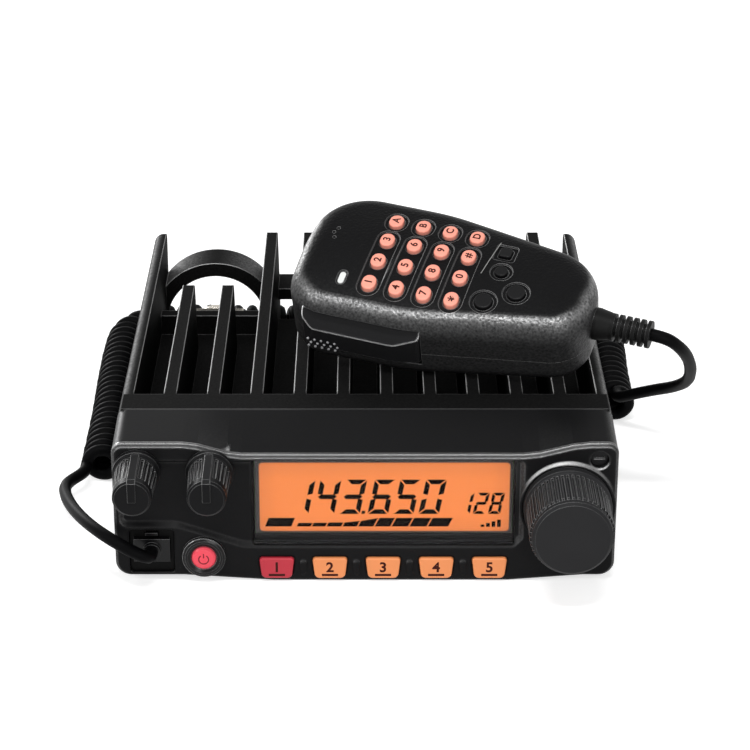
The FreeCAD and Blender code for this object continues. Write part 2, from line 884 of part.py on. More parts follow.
def relief_pocket():
    """Sunk band behind the knobs and round the display, with sloping sides."""
    outline = [(relief_left, relief_sill), (relief_sill_end, relief_sill),
               (relief_floor_start, relief_floor), (relief_right - 3, relief_floor),
               (relief_right, relief_floor + 3), (relief_right, relief_top),
               (relief_left, relief_top)]
    radii = [3.0, 12.0, 12.0, 2.0, 2.0, 2.0, 3.0]
    outer = rounded_wire(xz(outline, 0), radii)
    inner = outer.makeOffset2D(-relief_bevel)
    inner.translate(Vector(0, face_relief, 0))
    return Part.makeLoft([outer, inner], True, True)


def tapered_key(x, y0, y1, grow, shift=0.0):
    """Solid with a function key's outline, wider at the top, larger by grow all round."""
    top = function_key_top_width / 2 + grow
    bottom = function_key_bottom_width / 2 + grow
    upper = function_key_top + grow + shift
    lower = function_key_bottom - grow + shift
    points = xz([(x - bottom, lower), (x + bottom, lower), (x + top, upper),
                 (x - top, upper)], y0)
    sharp = function_key_corner + grow
    soft = function_key_round + grow
    return rounded_prism(points, [soft, soft, sharp, sharp], Vector(0, y1 - y0, 0))


def function_key_places():
    """Centres of the function keys along X."""
    return [function_key_first_x + i * function_key_pitch for i in range(function_keys)]


def key_nub(x):
    """Small drop-shaped nub between two function keys."""
    half = nub_width / 2
    low = function_key_bottom + 0.9
    points = [(x - half * 0.5, low), (x + half * 0.5, low),
              (x + half, low + nub_height), (x - half, low + nub_height)]
    radii = [half * 0.45, half * 0.45, half * 0.8, half * 0.8]
    return rounded_prism(xz(points, -nub_rise), radii, Vector(0, nub_rise + 0.5, 0))


def front_panel():
    """Moulded front: hood, brow ledge, relief round the display, openings and bosses."""
    panel = panel_body()
    ring = rod(dial_x, -dial_ring_rise, EPSILON, dial_z, dial_ring_radius)
    panel = panel.cut(relief_pocket()).fuse(ring)
    nub_places = [x + function_key_pitch / 2 for x in function_key_places()[:-1]]
    panel = fuse([panel] + [key_nub(x) for x in nub_places])

    inner = half_width - panel_wall
    ceiling = brow_height - brow_skin
    hollow = [(face_thickness, cover_thickness + 2), (panel_depth + 1, cover_thickness + 2),
              (panel_depth + 1, case_height - panel_wall), (panel_depth * 0.4, ceiling + 1.2),
              (face_thickness, ceiling)]
    cavity = polygon_face(yz(hollow, -inner)).extrude(Vector(2 * inner, 0, 0))
    pot_room = block(-inner, squelch_x + pot_side / 2 + 0.6, face_thickness, panel_depth,
                     cover_thickness + 2, small_knob_z + pot_side / 2 + 0.4)
    pillar = rod(front_screw_x, face_thickness - 0.5, panel_depth, front_screw_z,
                 front_pillar_radius)
    pads = [rod(x, face_thickness - 0.5, control_board_front, z, board_pad_radius)
            for x, z in board_pads]
    panel = fuse([cut(panel, [cavity, pot_room]), pillar] + pads)

    tools = []
    border = window_border
    tools.append(rounded_block(display_left - border, display_right + border, -1,
                               face_relief + window_thickness + window_gap,
                               display_bottom - window_lower_border,
                               display_top + border * 0.5, 0.8))
    tools.append(block(display_left - lcd_frame - 0.2, display_right + lcd_frame + 0.2,
                       face_relief, face_thickness + 1, display_bottom - lcd_frame - 0.2,
                       display_top + lcd_frame + 0.1))
    key_room_back = (face_thickness + function_key_gap + function_key_cap_overlap
                     + function_key_travel + function_key_room)
    for x in function_key_places():
        tools.append(tapered_key(x, -2, key_room_back, function_key_gap))
    for x in (volume_x, squelch_x):
        tools.append(rod(x, -1, face_thickness + 1, small_knob_z, pot_bush_diameter / 2 + 0.1))
    tools.append(rod(dial_x, -2, face_thickness + 1, dial_z, pot_bush_diameter / 2 + 0.1))
    tools.append(rod(dial_x, -2, 0, dial_z, dial_ring_inner))
    tools.append(rod(power_x, -1, face_thickness + 1, power_z, power_neck_radius + 0.1))
    tools.append(rounded_block(jack_left - jack_gap, jack_right + jack_gap, -1,
                               jack_front + jack_length + jack_gap,
                               jack_bottom - jack_gap, jack_top + jack_gap,
                               jack_corner + jack_gap))
    tools.append(rod(front_screw_x, -1, front_screw_recess + screw_head_height, front_screw_z,
                     screw_head_diameter / 2 + 0.3))
    tools.append(rod(front_screw_x, 0, panel_depth + 1, front_screw_z,
                     screw_hole_diameter / 2 + 0.15))
    return cut(panel, tools)


# ================================================================ front panel's own parts
def display_window():
    """Clear pane in front of the display."""
    border = window_border - 0.15
    return rounded_block(display_left - border, display_right + border, face_relief,
                         face_relief + window_thickness,
                         display_bottom - window_lower_border + 0.15,
                         display_top + window_border * 0.5 - 0.15, 0.8)


def lcd_module():
    """Liquid crystal cell in its light box, standing on the control board's pins."""
    front = face_relief + window_thickness + window_gap
    cell = block(display_left - lcd_frame, display_right + lcd_frame, front,
                 front + lcd_thickness, display_bottom - lcd_frame, display_top + lcd_frame)
    pins = block(display_left + 3, display_right - 3, front + lcd_thickness - EPSILON,
                 control_board_front, display_bottom + 1, display_bottom + 1 + lcd_pin_height)
    support = block(display_left + 8, display_right - 8, front + lcd_thickness - EPSILON,
                    control_board_front, display_top - 6, display_top - 6 + lcd_pin_height)
    return fuse([cell, pins, support])


def control_board():
    """Printed board behind the front panel, with the key switches on its front."""
    left = -half_width + control_board_margin
    right = half_width - control_board_margin
    board = block(left, right, control_board_front, control_board_back,
                  control_board_bottom, control_board_top)
    jack_notch = block(left - 1, jack_right + 1.2, 0, panel_depth, 0, jack_top + 1.2)
    shaft_room = shaft_diameter / 2 + 1
    shaft_holes = [rod(x, 0, panel_depth, z, shaft_room)
                   for x, z in ((squelch_x, small_knob_z), (dial_x, dial_z))]
    volume_notch = block(left - 1, volume_x + shaft_room, 0, panel_depth,
                         small_knob_z - shaft_room, small_knob_z + shaft_room)
    screw_notch = rod(front_screw_x, 0, panel_depth, front_screw_z, 4.2)
    board = cut(board, [jack_notch, screw_notch, volume_notch] + shaft_holes)
    pieces = [board]
    switch_places = [(x, switch_height) for x in function_key_places()]
    switch_places.append((power_x, power_z))
    for x, z in switch_places:
        half = switch_body_side / 2
        front = control_board_front - switch_body_depth
        pieces.append(block(x - half, x + half, front, control_board_front + EPSILON,
                            z - half, z + half))
    return fuse(pieces)


def potentiometer(x, z, side, depth):
    """Rotary control: square body on the board and a bush through the panel."""
    half = side / 2
    front = control_board_front - depth
    body = block(x - half, x + half, front, control_board_front, z - half, z + half)
    bush = rod(x, face_relief, front + EPSILON, z, pot_bush_diameter / 2)
    bore = rod(x, -1, shaft_back + 0.4, z, shaft_diameter / 2 + shaft_clearance)
    return fuse([body, bush]).cut(bore)


def power_bezel():
    """Ring round the power button, pressed into the panel."""
    profile = [(power_button_radius + power_gap, -power_ring_rise + 0.5),
               (power_button_radius + power_gap, face_thickness),
               (power_neck_radius, face_thickness), (power_neck_radius, 0),
               (power_ring_radius, 0), (power_ring_radius - 0.3, -power_ring_rise + 0.4),
               (power_ring_radius - 1.2, -power_ring_rise),
               (power_neck_radius - 0.3, -power_ring_rise)]
    return turned(profile, power_x, power_z)


def power_button():
    """Domed push button with a flange behind its ring and a stem to its switch."""
    radius = power_button_radius
    front = power_button_front
    stem_end = control_board_front - switch_body_depth - power_travel - key_stem_gap
    flange = face_thickness + power_gap
    profile = [(0, front - power_dome), (radius * 0.5, front - power_dome * 0.75),
               (radius - 0.6, front), (radius, front + 0.6), (radius, flange),
               (power_flange_radius, flange), (power_flange_radius, flange + 0.9),
               (1.6, flange + 0.9), (1.6, stem_end), (0, stem_end)]
    return turned(profile, power_x, power_z)


def function_key(x):
    """Key cap in its opening, a flange behind the panel and a stem to its switch."""
    flange_front = face_thickness + function_key_gap
    cap = tapered_key(x, function_key_front, flange_front + function_key_cap_overlap, 0.0)

    def front_rim(middle, edge):
        return middle.y < function_key_front + EPSILON

    cap = fillet_where(cap, 0.5, front_rim)
    flange = tapered_key(x, flange_front, flange_front + function_key_flange, 0.8, 0.4)
    flange = flange.common(block(x - function_key_pitch, x + function_key_pitch, 0, REACH,
                                 cover_thickness + 2.2, REACH))
    stem_end = control_board_front - switch_body_depth - function_key_travel - key_stem_gap
    stem = rod(x, flange_front, stem_end, switch_height, 1.2)
    return fuse([cap, flange, stem])


def mic_jack():
    """Modular socket behind the front panel's opening."""
    body = rounded_block(jack_left, jack_right, jack_front, jack_front + jack_length,
                         jack_bottom, jack_top, jack_corner)
    port = block(jack_x - port_width / 2, jack_x + port_width / 2, jack_front - 1,
                 jack_front + port_depth, port_bottom, port_bottom + port_height)
    latch = block(jack_x - latch_width / 2 - 0.2, jack_x + latch_width / 2 + 0.2,
                  jack_front - 1, jack_front + port_depth, port_bottom + 1,
                  port_bottom + port_height + latch_height)
    return body.cut(port).cut(latch)


def mic_plug():
    """Modular plug with its latch, pushed home in the socket, and its short boot."""
    half = port_width / 2 - plug_gap
    body = block(jack_x - half, jack_x + half, plug_rear, jack_front + port_depth - 0.4,
                 port_bottom + plug_gap, port_bottom + port_height - plug_gap)
    top = port_bottom + port_height - plug_gap
    latch = polygon_face(yz([(plug_rear + 0.5, top + latch_height), (plug_rear + 0.5, top + 1.0),
                             (jack_front + 6, top - 0.5), (jack_front + 8, top - 0.5),
                             (jack_front + 8, top + 0.5)], jack_x - latch_width / 2))
    latch = latch.extrude(Vector(latch_width, 0, 0))
    middle = port_bottom + port_height / 2
    boot = rod(jack_x, plug_rear - plug_boot_length, plug_rear + EPSILON, middle,
               plug_boot_radius)
    return fuse([body, latch, boot])


# ================================================================ knobs
def flutes(x, z, count, width, depth, radius, y0, y1):
    """Grooves spread evenly round a knob's side."""
    tools = []
    for i in range(count):
        angle = 360.0 * (i + 0.5) / count
        groove = block(-width / 2, width / 2, y0, y1, radius - depth, radius + 2)
        groove.rotate(Vector(0, 0, 0), ALONG_Y, angle)
        groove.translate(Vector(x, 0, z))
        tools.append(groove)
    return tools


def small_knob(x):
    """Fluted control knob with a pointer, hollow behind, on its shaft."""
    z = small_knob_z
    skirt_front = knob_back - knob_skirt_depth
    profile = [(0, knob_front), (knob_face_radius - knob_edge, knob_front),
               (knob_face_radius, knob_front + knob_edge), (knob_base_radius, skirt_front - 0.6),
               (knob_skirt_radius - 0.5, skirt_front), (knob_skirt_radius, skirt_front + 0.5),
               (knob_skirt_radius, knob_back), (0, knob_back)]
    body = turned(profile, x, z)
    flute_back = skirt_front - 1.4
    tools = flutes(x, z, knob_flutes, knob_flute_width, knob_flute_depth, knob_base_radius,
                   flute_back - knob_flute_run, flute_back)
    outside = fuse([cut(body, tools), knob_pointer(x, z)])
    hollow = rod(x, knob_front + 2.5, knob_back + 1, z, knob_base_radius - knob_wall)
    hub = rod(x, knob_front + 1.5, knob_back, z, knob_hub_radius)
    bore = rod(x, knob_front + 4, knob_back + 1, z, shaft_diameter / 2)
    shell = outside.cut(hollow).fuse(hub.cut(bore)).removeSplitter()
    return Part.makeCompound([shell, control_shaft(x, z, knob_front + 4)])


def knob_pointer(x, z):
    """Raised pointer along the knob's top and down its face to the middle."""
    half = pointer_width / 2
    top = knob_base_radius + pointer_rise
    outline = [(knob_front - 0.5, -1.0), (knob_front - 0.5, knob_face_radius - 0.6),
               (knob_front + 0.8, knob_face_radius + pointer_rise * 0.6),
               (knob_back - knob_skirt_depth - 0.4, top),
               (knob_back - knob_skirt_depth + 0.5, knob_base_radius - 1.5),
               (knob_front + 2.0, knob_face_radius - 1.5), (knob_front + 2.0, -1.0)]
    points = [(y, z + height) for y, height in outline]
    blade = polygon_face(yz(points, x - half)).extrude(Vector(pointer_width, 0, 0))
    return blade


def control_shaft(x, z, y_front):
    """Metal shaft of a rotary control, held in its knob and turning in its bush."""
    shaft = rod(x, y_front, shaft_back, z, shaft_diameter / 2)
    return shaft


def tuning_dial():
    """Main dial: ribbed side, flat face, hollow behind, on its shaft."""
    skirt_front = dial_back - dial_skirt_depth
    profile = [(0, dial_front), (dial_face_radius - dial_edge, dial_front),
               (dial_face_radius, dial_front + dial_edge),
               (dial_face_radius + 0.15, dial_front + 2.4),
               (dial_rib_radius, dial_front + 2.8), (dial_rib_radius, skirt_front - 0.8),
               (dial_skirt_radius - 0.6, skirt_front), (dial_skirt_radius, skirt_front + 0.8),
               (dial_skirt_radius, dial_back), (0, dial_back)]
    body = turned(profile, dial_x, dial_z)
    tools = flutes(dial_x, dial_z, dial_ribs, dial_rib_width, dial_rib_depth,
                   dial_rib_radius, dial_front + 2.4, skirt_front - 0.6)
    outside = cut(body, tools)
    hollow = rod(dial_x, dial_front + 3, dial_back + 1, dial_z, dial_rib_radius - dial_wall - 0.6)
    hub = rod(dial_x, dial_front + 2, dial_back, dial_z, knob_hub_radius + 1)
    bore = rod(dial_x, dial_front + 6, dial_back + 1, dial_z, shaft_diameter / 2)
    shell = outside.cut(hollow).fuse(hub.cut(bore)).removeSplitter()
    return Part.makeCompound([shell, control_shaft(dial_x, dial_z, dial_front + 6)])


# ================================================================ inside the case
def main_board():
    """Main printed board with its screening can and larger components."""
    half = main_board_half_width
    board = block(-half, half, main_board_front, main_board_back, main_board_bottom,
                  main_board_top)
    hole = post(speaker_x, speaker_y, 0, deck_height, speaker_radius + speaker_clearance)
    screw_clearance = [post(x, y, 0, deck_height, screw_boss_diameter / 2 + 0.8)
                       for x, y in cover_screw_places()]
    board = cut(board, [hole] + screw_clearance)
    pieces = [board]
    for x0, x1, y0, y1, height in (screening_can, filter_can, control_chip, front_connector):
        pieces.append(block(x0, x1, y0, y1, main_board_top - EPSILON, main_board_top + height))
    for x, y in capacitor_places:
        pieces.append(post(x, y, main_board_top - EPSILON, main_board_top + capacitor_height,
                           capacitor_radius))
    return fuse(pieces)


def power_transistors():
    """Output transistors bolted to the underside of the deck."""
    solids = []
    for x in transistor_x:
        body = block(x - transistor_width / 2, x + transistor_width / 2, transistor_y,
                     transistor_y + transistor_length, deck_ceiling - transistor_height,
                     deck_ceiling)
        half_leg = transistor_leg_width / 2
        leg_y = transistor_y + transistor_leg_inset
        legs = [block(leg_x - half_leg, leg_x + half_leg, leg_y,
                      leg_y + transistor_leg_thickness, main_board_top,
                      deck_ceiling - transistor_height + EPSILON)
                for leg_x in (x - transistor_leg_spacing, x, x + transistor_leg_spacing)]
        solids.append(fuse([body] + legs))
    return Part.makeCompound(solids)


def speaker():
    """Loudspeaker on the bottom cover: basket, cone frame and magnet."""
    z0 = cover_thickness
    z1 = z0 + speaker_rim_height
    z2 = z1 + speaker_cone_height
    z3 = z2 + speaker_magnet_height
    profile = [(0, z0 + speaker_cone_dip), (speaker_radius - speaker_lip_width, z0),
               (speaker_radius, z0), (speaker_radius, z1),
               (speaker_radius - speaker_basket_width, z1),
               (speaker_magnet_radius, z2), (speaker_magnet_radius, z3), (0, z3)]
    points = [Vector(radius, 0, z) for radius, z in profile]
    solid = polygon_face(points).revolve(Vector(0, 0, 0), ALONG_Z, 360)
    solid.translate(Vector(speaker_x, speaker_y, 0))
    return solid


def antenna_connector():
    """Aerial socket: square flange, threaded barrel and centre contact."""
    half = aerial_flange_side / 2
    back = aerial_recess_front
    flange = rounded_block(aerial_x - half, aerial_x + half, back,
                           back + aerial_flange_thickness, aerial_z - half, aerial_z + half, 2.0)
    thread_start = back + aerial_flange_thickness
    thread_end = thread_start + aerial_thread_length
    barrel = rod(aerial_x, thread_start - EPSILON, thread_end, aerial_z,
                 aerial_thread_diameter / 2)
    bore = rod(aerial_x, thread_end - aerial_bore_depth, thread_end + 1, aerial_z,
               aerial_bore_diameter / 2)
    tail = rod(aerial_x, back - aerial_tail_length, back + EPSILON, aerial_z,
               aerial_tail_diameter / 2)
    contact = rod(aerial_x, thread_end - aerial_bore_depth - EPSILON, thread_end - 1, aerial_z,
                  aerial_pin_diameter / 2)
    contact_bore = rod(aerial_x, thread_end - aerial_bore_depth, thread_end, aerial_z,
                       aerial_pin_bore / 2)
    socket = fuse([flange, barrel, tail]).cut(bore)
    socket = fuse([socket, contact.cut(contact_bore)])
    spacing = aerial_hole_spacing / 2
    corner_holes = [rod(aerial_x + i * spacing, back - 1, back + 5, aerial_z + j * spacing, 1.6)
                    for i in (-1, 1) for j in (-1, 1)]
    return cut(socket, corner_holes)


def speaker_jack():
    """External speaker socket through the rear wall."""
    wall_front = rear_wall_back - rear_wall
    body = block(speaker_jack_x - jack_body_side / 2, speaker_jack_x + jack_body_side / 2,
                 wall_front - jack_body_length, wall_front,
                 speaker_jack_z - jack_body_side / 2, speaker_jack_z + jack_body_side / 2)
    bush = rod(speaker_jack_x, wall_front - EPSILON, rear_wall_back + jack_bush_length,
               speaker_jack_z, jack_bush_diameter / 2 - 0.05)
    bore = rod(speaker_jack_x, wall_front - jack_body_length + 2,
               rear_wall_back + jack_bush_length + 1, speaker_jack_z, jack_bore_diameter / 2)
    return fuse([body, bush]).cut(bore)


def power_grommet():
    """Rubber grommet in the rear wall, where the supply lead comes in."""
    wall_front = rear_wall_back - rear_wall
    radius = grommet_diameter / 2
    neck = grommet_neck / 2 - 0.03
    bore = grommet_bore / 2
    profile = [(bore, wall_front - grommet_lip), (radius - 0.4, wall_front - grommet_lip),
               (radius, wall_front), (neck, wall_front), (neck, rear_wall_back),
               (radius, rear_wall_back), (radius - 0.5, rear_wall_back + grommet_lip),
               (bore, rear_wall_back + grommet_lip)]
    return turned(profile, power_inlet_x, power_inlet_z)


# ================================================================ curly cord
def radio_side_route():
    """Route of the plain lead from the plug to the left end of the curly cord."""
    exit_y = plug_rear - plug_boot_length
    exit_z = port_bottom + port_height / 2
    end_x = coil_left - coil_wire_offset
    return [Vector(jack_x, exit_y, exit_z), Vector(jack_x, exit_y - 2.8, exit_z),
            Vector(jack_x - 1.7, -7.0, 12.5), Vector(jack_x - 4.8, -7.6, 14.4),
            Vector(jack_x - 9.1, -6.2, 16.2), Vector(jack_x - 14.8, -1.8, 17.5),
            Vector(end_x + 7.95, 6.2, 17.0), Vector(end_x + 2.75, 18.0, 14.8),
            Vector(end_x - 2.05, 33.0, 11.4), Vector(end_x - 5.45, 48.0, 8.2),
            Vector(end_x - 5.45, 57.0, 6.8), Vector(end_x, 64.0, coil_height),
            Vector(end_x, coil_left_front, coil_height)]


def coil_route():
    """Middle line of the curly cord, round the back of the case."""
    z = coil_height
    return [Vector(coil_left, coil_left_front, z), Vector(coil_left, 104.0, z),
            Vector(coil_left - 1.2, 140.0, z), Vector(coil_left - 1.6, coil_rear - 26.6, z),
            Vector(coil_left - 0.8, coil_rear - 10.6, z),
            Vector(coil_left + 6.7, coil_rear - 0.6, z),
            Vector(coil_left + 21.2, coil_rear + 1.4, z), Vector(-47.0, coil_rear + 0.6, z),
            Vector(-9.0, coil_rear, z), Vector(28.0, coil_rear + 0.8, z),
            Vector(51.0, coil_rear + 0.5, z), Vector(coil_right - 21.2, coil_rear + 1.4, z),
            Vector(coil_right - 6.8, coil_rear - 0.6, z),
            Vector(coil_right + 0.8, coil_rear - 10.6, z),
            Vector(coil_right + 1.4, coil_rear - 26.6, z), Vector(coil_right, 147.0, z),
            Vector(coil_right, coil_right_front, z)]


def mic_side_route():
    """Route of the plain lead from the microphone's boot to the cord's right end."""
    start = mic_placement.multVec(Vector(mic_tail + boot_length, boot_v, boot_w))
    heading = mic_placement.Rotation.multVec(ALONG_X)
    end_z = coil_height + coil_wire_offset
    return [start, start + heading * 5.0, Vector(coil_right + 11.8, 43.2, 63.4),
            Vector(coil_right + 15.8, 51.0, 56.4), Vector(coil_right + 18.9, 63.0, 46.6),
            Vector(coil_right + 20.2, 77.0, 35.9), Vector(coil_right + 17.6, 91.0, 27.3),
            Vector(coil_right + 11.4, 102.5, 20.8), Vector(coil_right + 4.5, 109.5, 15.8),
            Vector(coil_right, 115.0, end_z), Vector(coil_right, coil_right_front, end_z)]


# ================================================================ hand microphone
def mic_outline(inset, w):
    """Plan of the microphone: round-cornered head, slightly bowed sides, narrow tail."""
    half = mic_half_width
    points = [(mic_head - mic_head_bulge, 0), (mic_head, -half), (mic_waist, -half),
              (mic_tail, -mic_tail_half_width), (mic_tail, mic_tail_half_width),
              (mic_waist, half), (mic_head, half)]
    radii = [mic_head_bend, mic_head_near_corner, mic_side_bend, mic_tail_near_corner,
             mic_tail_far_corner, mic_side_bend, mic_head_far_corner]
    wire = rounded_wire(xy(points, w), radii)
    return wire.makeOffset2D(-inset) if inset > 0 else wire


def mic_body(inset):
    """Outside of the microphone, or the space inside it when inset by its wall."""
    low = -mic_head_depth - 5
    blank = Part.Face(mic_outline(inset, low)).extrude(Vector(0, 0, 5 - low))
    crown_axis = -mic_crown_radius
    crown = bar(mic_head - 20, mic_tail + 20, 0, crown_axis, mic_crown_radius - inset)
    back = polygon_face([Vector(mic_head - 20, -60, inset - mic_head_depth),
                         Vector(mic_tail + 20, -60, inset - mic_tail_depth),
                         Vector(mic_tail + 20, -60, 20), Vector(mic_head - 20, -60, 20)])
    body = blank.common(crown).common(back.extrude(Vector(0, 120, 0)))

    def face_rim(middle, edge):
        return middle.z > -8 - inset and edge.Length > 0.5 and not is_upright(edge)

    def back_rim(middle, edge):
        return middle.z < -20 + inset and not is_upright(edge)

    body = fillet_where(body, mic_face_round - inset, face_rim)
    return fillet_where(body, mic_back_round - inset, back_rim)


def is_upright(edge):
    """Whether an edge of the microphone runs along w."""
    box = edge.BoundBox
    return box.ZLength > 10


def crown_height(v):
    """Height of the microphone's face at a distance v from its middle line."""
    return math.sqrt(mic_crown_radius**2 - v**2) - mic_crown_radius


def crown_bar(grow):
    """Cylinder whose top is the microphone's face, raised or sunk by grow."""
    return bar(mic_head - 20, mic_tail + 20, 0, -mic_crown_radius, mic_crown_radius + grow)


def oval_prism(u, v, width, length, w0, w1):
    """Round-ended prism across the microphone, from w0 to w1."""
    half = width / 2
    reach = length / 2
    points = xy([(u - half, v - reach), (u + half, v - reach), (u + half, v + reach),
                 (u - half, v + reach)], w0)
    return rounded_prism(points, [half - 0.02] * 4, Vector(0, 0, w1 - w0))


def side_half_width(u):
    """Half width of the microphone on its straight taper, behind the waist."""
    slope = (mic_half_width - mic_tail_half_width) / (mic_tail - mic_waist)
    return mic_half_width - (u - mic_waist) * slope


def side_switch_placement():
    """Where the side switch sits, turned to lie along the tapering side."""
    slope = (mic_half_width - mic_tail_half_width) / (mic_tail - mic_waist)
    turn = -math.degrees(math.atan(slope))
    place = Vector(side_switch_u, side_half_width(side_switch_u), side_switch_w)
    return Placement(place, Rotation(ALONG_Z, turn))


def keypad_places():
    """Name and centre of every key of the four by four keypad."""
    rows = (("1", "2", "3", "a"), ("4", "5", "6", "b"), ("7", "8", "9", "c"),
            ("star", "0", "hash", "d"))
    places = []
    for i, row in enumerate(rows):
        for j, label in enumerate(row):
            places.append((label, (i - 1.5) * keypad_pitch, keypad_v + (j - 1.5) * keypad_pitch))
    return places


def face_recesses():
    """Shallow recesses round the keys, of even depth on the crowned face."""
    pieces = []
    for label, u, v in keypad_places():
        if label in ("2", "5", "8", "0"):
            pieces.append(oval_prism(u, v, recess_width, recess_column_length, -6, 3))
        elif label in ("a", "b", "c", "d"):
            pieces.append(oval_prism(u, v, recess_width, recess_letter_length, -6, 3))
    for u, v, radius, is_square in program_keys:
        pieces.append(program_prism(u, v, radius + program_recess_margin, is_square, -6, 3))
    rim = 2 * lens_recess_margin
    pieces.append(oval_prism(lens_u, lens_v, lens_width + rim, lens_length + rim, -6, 3))
    recesses = pieces[0].multiFuse(pieces[1:])
    return recesses.cut(crown_bar(-recess_depth))


def lever_pocket():
    """Opening in the near side of both shells, for the push-to-talk lever."""
    gap = lever_gap
    inner = lever_inner_v + lever_stroke + gap
    return block(lever_head_end - gap, lever_tail_end + gap, -60, inner,
                 lever_bottom - gap, lever_top + gap)


def mic_shell():
    """Hollow microphone before it is split, with the openings both shells share."""
    shell = mic_body(0).cut(mic_body(mic_wall))
    switch_slot = block(-side_switch_length / 2 - side_switch_travel / 2 - side_switch_gap,
                        side_switch_length / 2 + side_switch_travel / 2 + side_switch_gap,
                        -mic_wall - 1, 5, -side_switch_height / 2 - side_switch_gap,
                        side_switch_height / 2 + side_switch_gap)
    switch_slot.Placement = side_switch_placement()
    cord_hole = bar(mic_tail - 8, mic_tail + 8, boot_v, boot_w, boot_core_radius + 0.02)
    return cut(shell, [lever_pocket(), switch_slot, cord_hole])


def mic_front_shell(shell):
    """Key side of the microphone, with the holes and recesses of its face."""
    front = shell.common(block(-100, 100, -60, 60, mic_seam, 20))
    bosses = [post(u, v, back_height(u) + 3.6, crown_height(abs(v) + mic_boss_radius) - 1.0,
                   mic_boss_radius) for u, v in mic_screw_places]
    front = fuse([front] + bosses)
    tools = [face_recesses()]
    gap = keypad_gap
    for label, u, v in keypad_places():
        tools.append(oval_prism(u, v, keypad_width + 2 * gap, keypad_length + 2 * gap, -7, 3))
    for u, v, radius, is_square in program_keys:
        tools.append(program_prism(u, v, radius + gap, is_square, -7, 3))
    tools.append(oval_prism(lens_u, lens_v, lens_width, lens_length, -7, 3))
    for u, v in sound_hole_places:
        tools.append(post(u, v, -7, 3, sound_hole_radius))
    for u, v in mic_screw_places:
        tools.append(post(u, v, back_height(u), back_height(u) + 14, screw_hole_diameter / 2))
    return cut(front, tools)


def back_height(u):
    """Height w of the microphone's flat back at u."""
    slope = (mic_head_depth - mic_tail_depth) / (mic_tail - mic_head + 40)
    return -mic_head_depth + (u - mic_head + 20) * slope


def back_tilt():
    """Placement whose w axis is square to the microphone's back, turned about v."""
    rise = mic_head_depth - mic_tail_depth
    turn = -math.degrees(math.atan(rise / (mic_tail - mic_head + 40)))
    return Rotation(ALONG_Y, turn)


def mic_back_shell(shell):
    """Back of the microphone, with screw seats and the lever's pivot pin."""
    back = shell.common(block(-100, 100, -60, 60, -60, mic_seam))
    inside = mic_body(mic_wall - 0.5)
    ledge = block(lever_pivot_u - 3.5, lever_tail_end + 1.5, -30, lever_inner_v + 2,
                  lever_bottom - lever_gap - 2.4, lever_bottom - lever_gap).common(inside)
    pin = post(lever_pivot_u, lever_pivot_v(), lever_bottom - lever_gap - 1,
               lever_bottom + 5, lever_pivot_radius)
    seats = [post(u, v, back_height(u) + 1.5, back_height(u) + 3.5, 4.6)
             for u, v in mic_screw_places]
    back = fuse([back, ledge, pin] + seats)
    tools = []
    for u, v in mic_screw_places:
        tools.append(post(u, v, -60, back_height(u) + screw_head_height + 0.5,
                          screw_head_diameter / 2 + 0.25))
        tools.append(post(u, v, -60, back_height(u) + 4, screw_hole_diameter / 2 + 0.15))
    return cut(back, tools)


def mic_screws():
    """The four screws of the microphone's back."""
    return Part.makeCompound([screw(Vector(u, v, back_height(u) + mic_screw_sink), ALONG_Z,
                                    screw_length) for u, v in mic_screw_places])


def mic_board():
    """Printed board behind the keys, with the microphone capsule and lever's switch."""
    outline = mic_outline(mic_wall + mic_board_margin + 1.0, mic_board_bottom)
    board = Part.Face(outline).extrude(Vector(0, 0, mic_board_thickness))
    inner = lever_inner_v + lever_stroke + 2 * lever_gap + 0.4
    notch = block(lever_head_end - 3, lever_tail_end + 3, -60, inner, -20, 0)
    holes = [post(u, v, -20, 0, 3.4) for u, v in mic_screw_places]
    switch_corner = side_switch_placement().Base
    switch_notch = block(switch_corner.x - 9, switch_corner.x + 9, switch_corner.y - 7, 60,
                         -20, 0)
    board = cut(board, [notch, switch_notch] + holes)
    capsule = post(capsule_place[0], capsule_place[1], mic_board_top - EPSILON,
                   mic_board_top + capsule_height, capsule_radius)
    switch_front = lever_inner_v + lever_travel_at(push_switch_u) + lever_gap
    half = push_switch_side / 2
    push_switch = block(push_switch_u - half, push_switch_u + half, switch_front,
                        switch_front + push_switch_side, mic_board_bottom - push_switch_height,
                        mic_board_bottom + EPSILON)
    return fuse([board, capsule, push_switch])


def mic_hanger_stud():
    """Round stud on the back, which hangs the microphone in its clip."""
    profile = [(0, 0), (stud_foot_radius, 0), (stud_foot_radius, -stud_foot_height),
               (stud_neck_radius, -stud_foot_height),
               (stud_neck_radius, stud_flange_height - stud_length),
               (stud_flange_radius, stud_flange_height - stud_length),
               (stud_flange_radius, 0.6 - stud_length), (stud_flange_radius - 0.6, -stud_length),
               (0, -stud_length)]
    points = [Vector(radius, 0, w) for radius, w in profile]
    stud = polygon_face(points).revolve(Vector(0, 0, 0), ALONG_Z, 360)
    stud.Placement = Placement(Vector(stud_u, stud_v, back_height(stud_u)), back_tilt())
    return stud


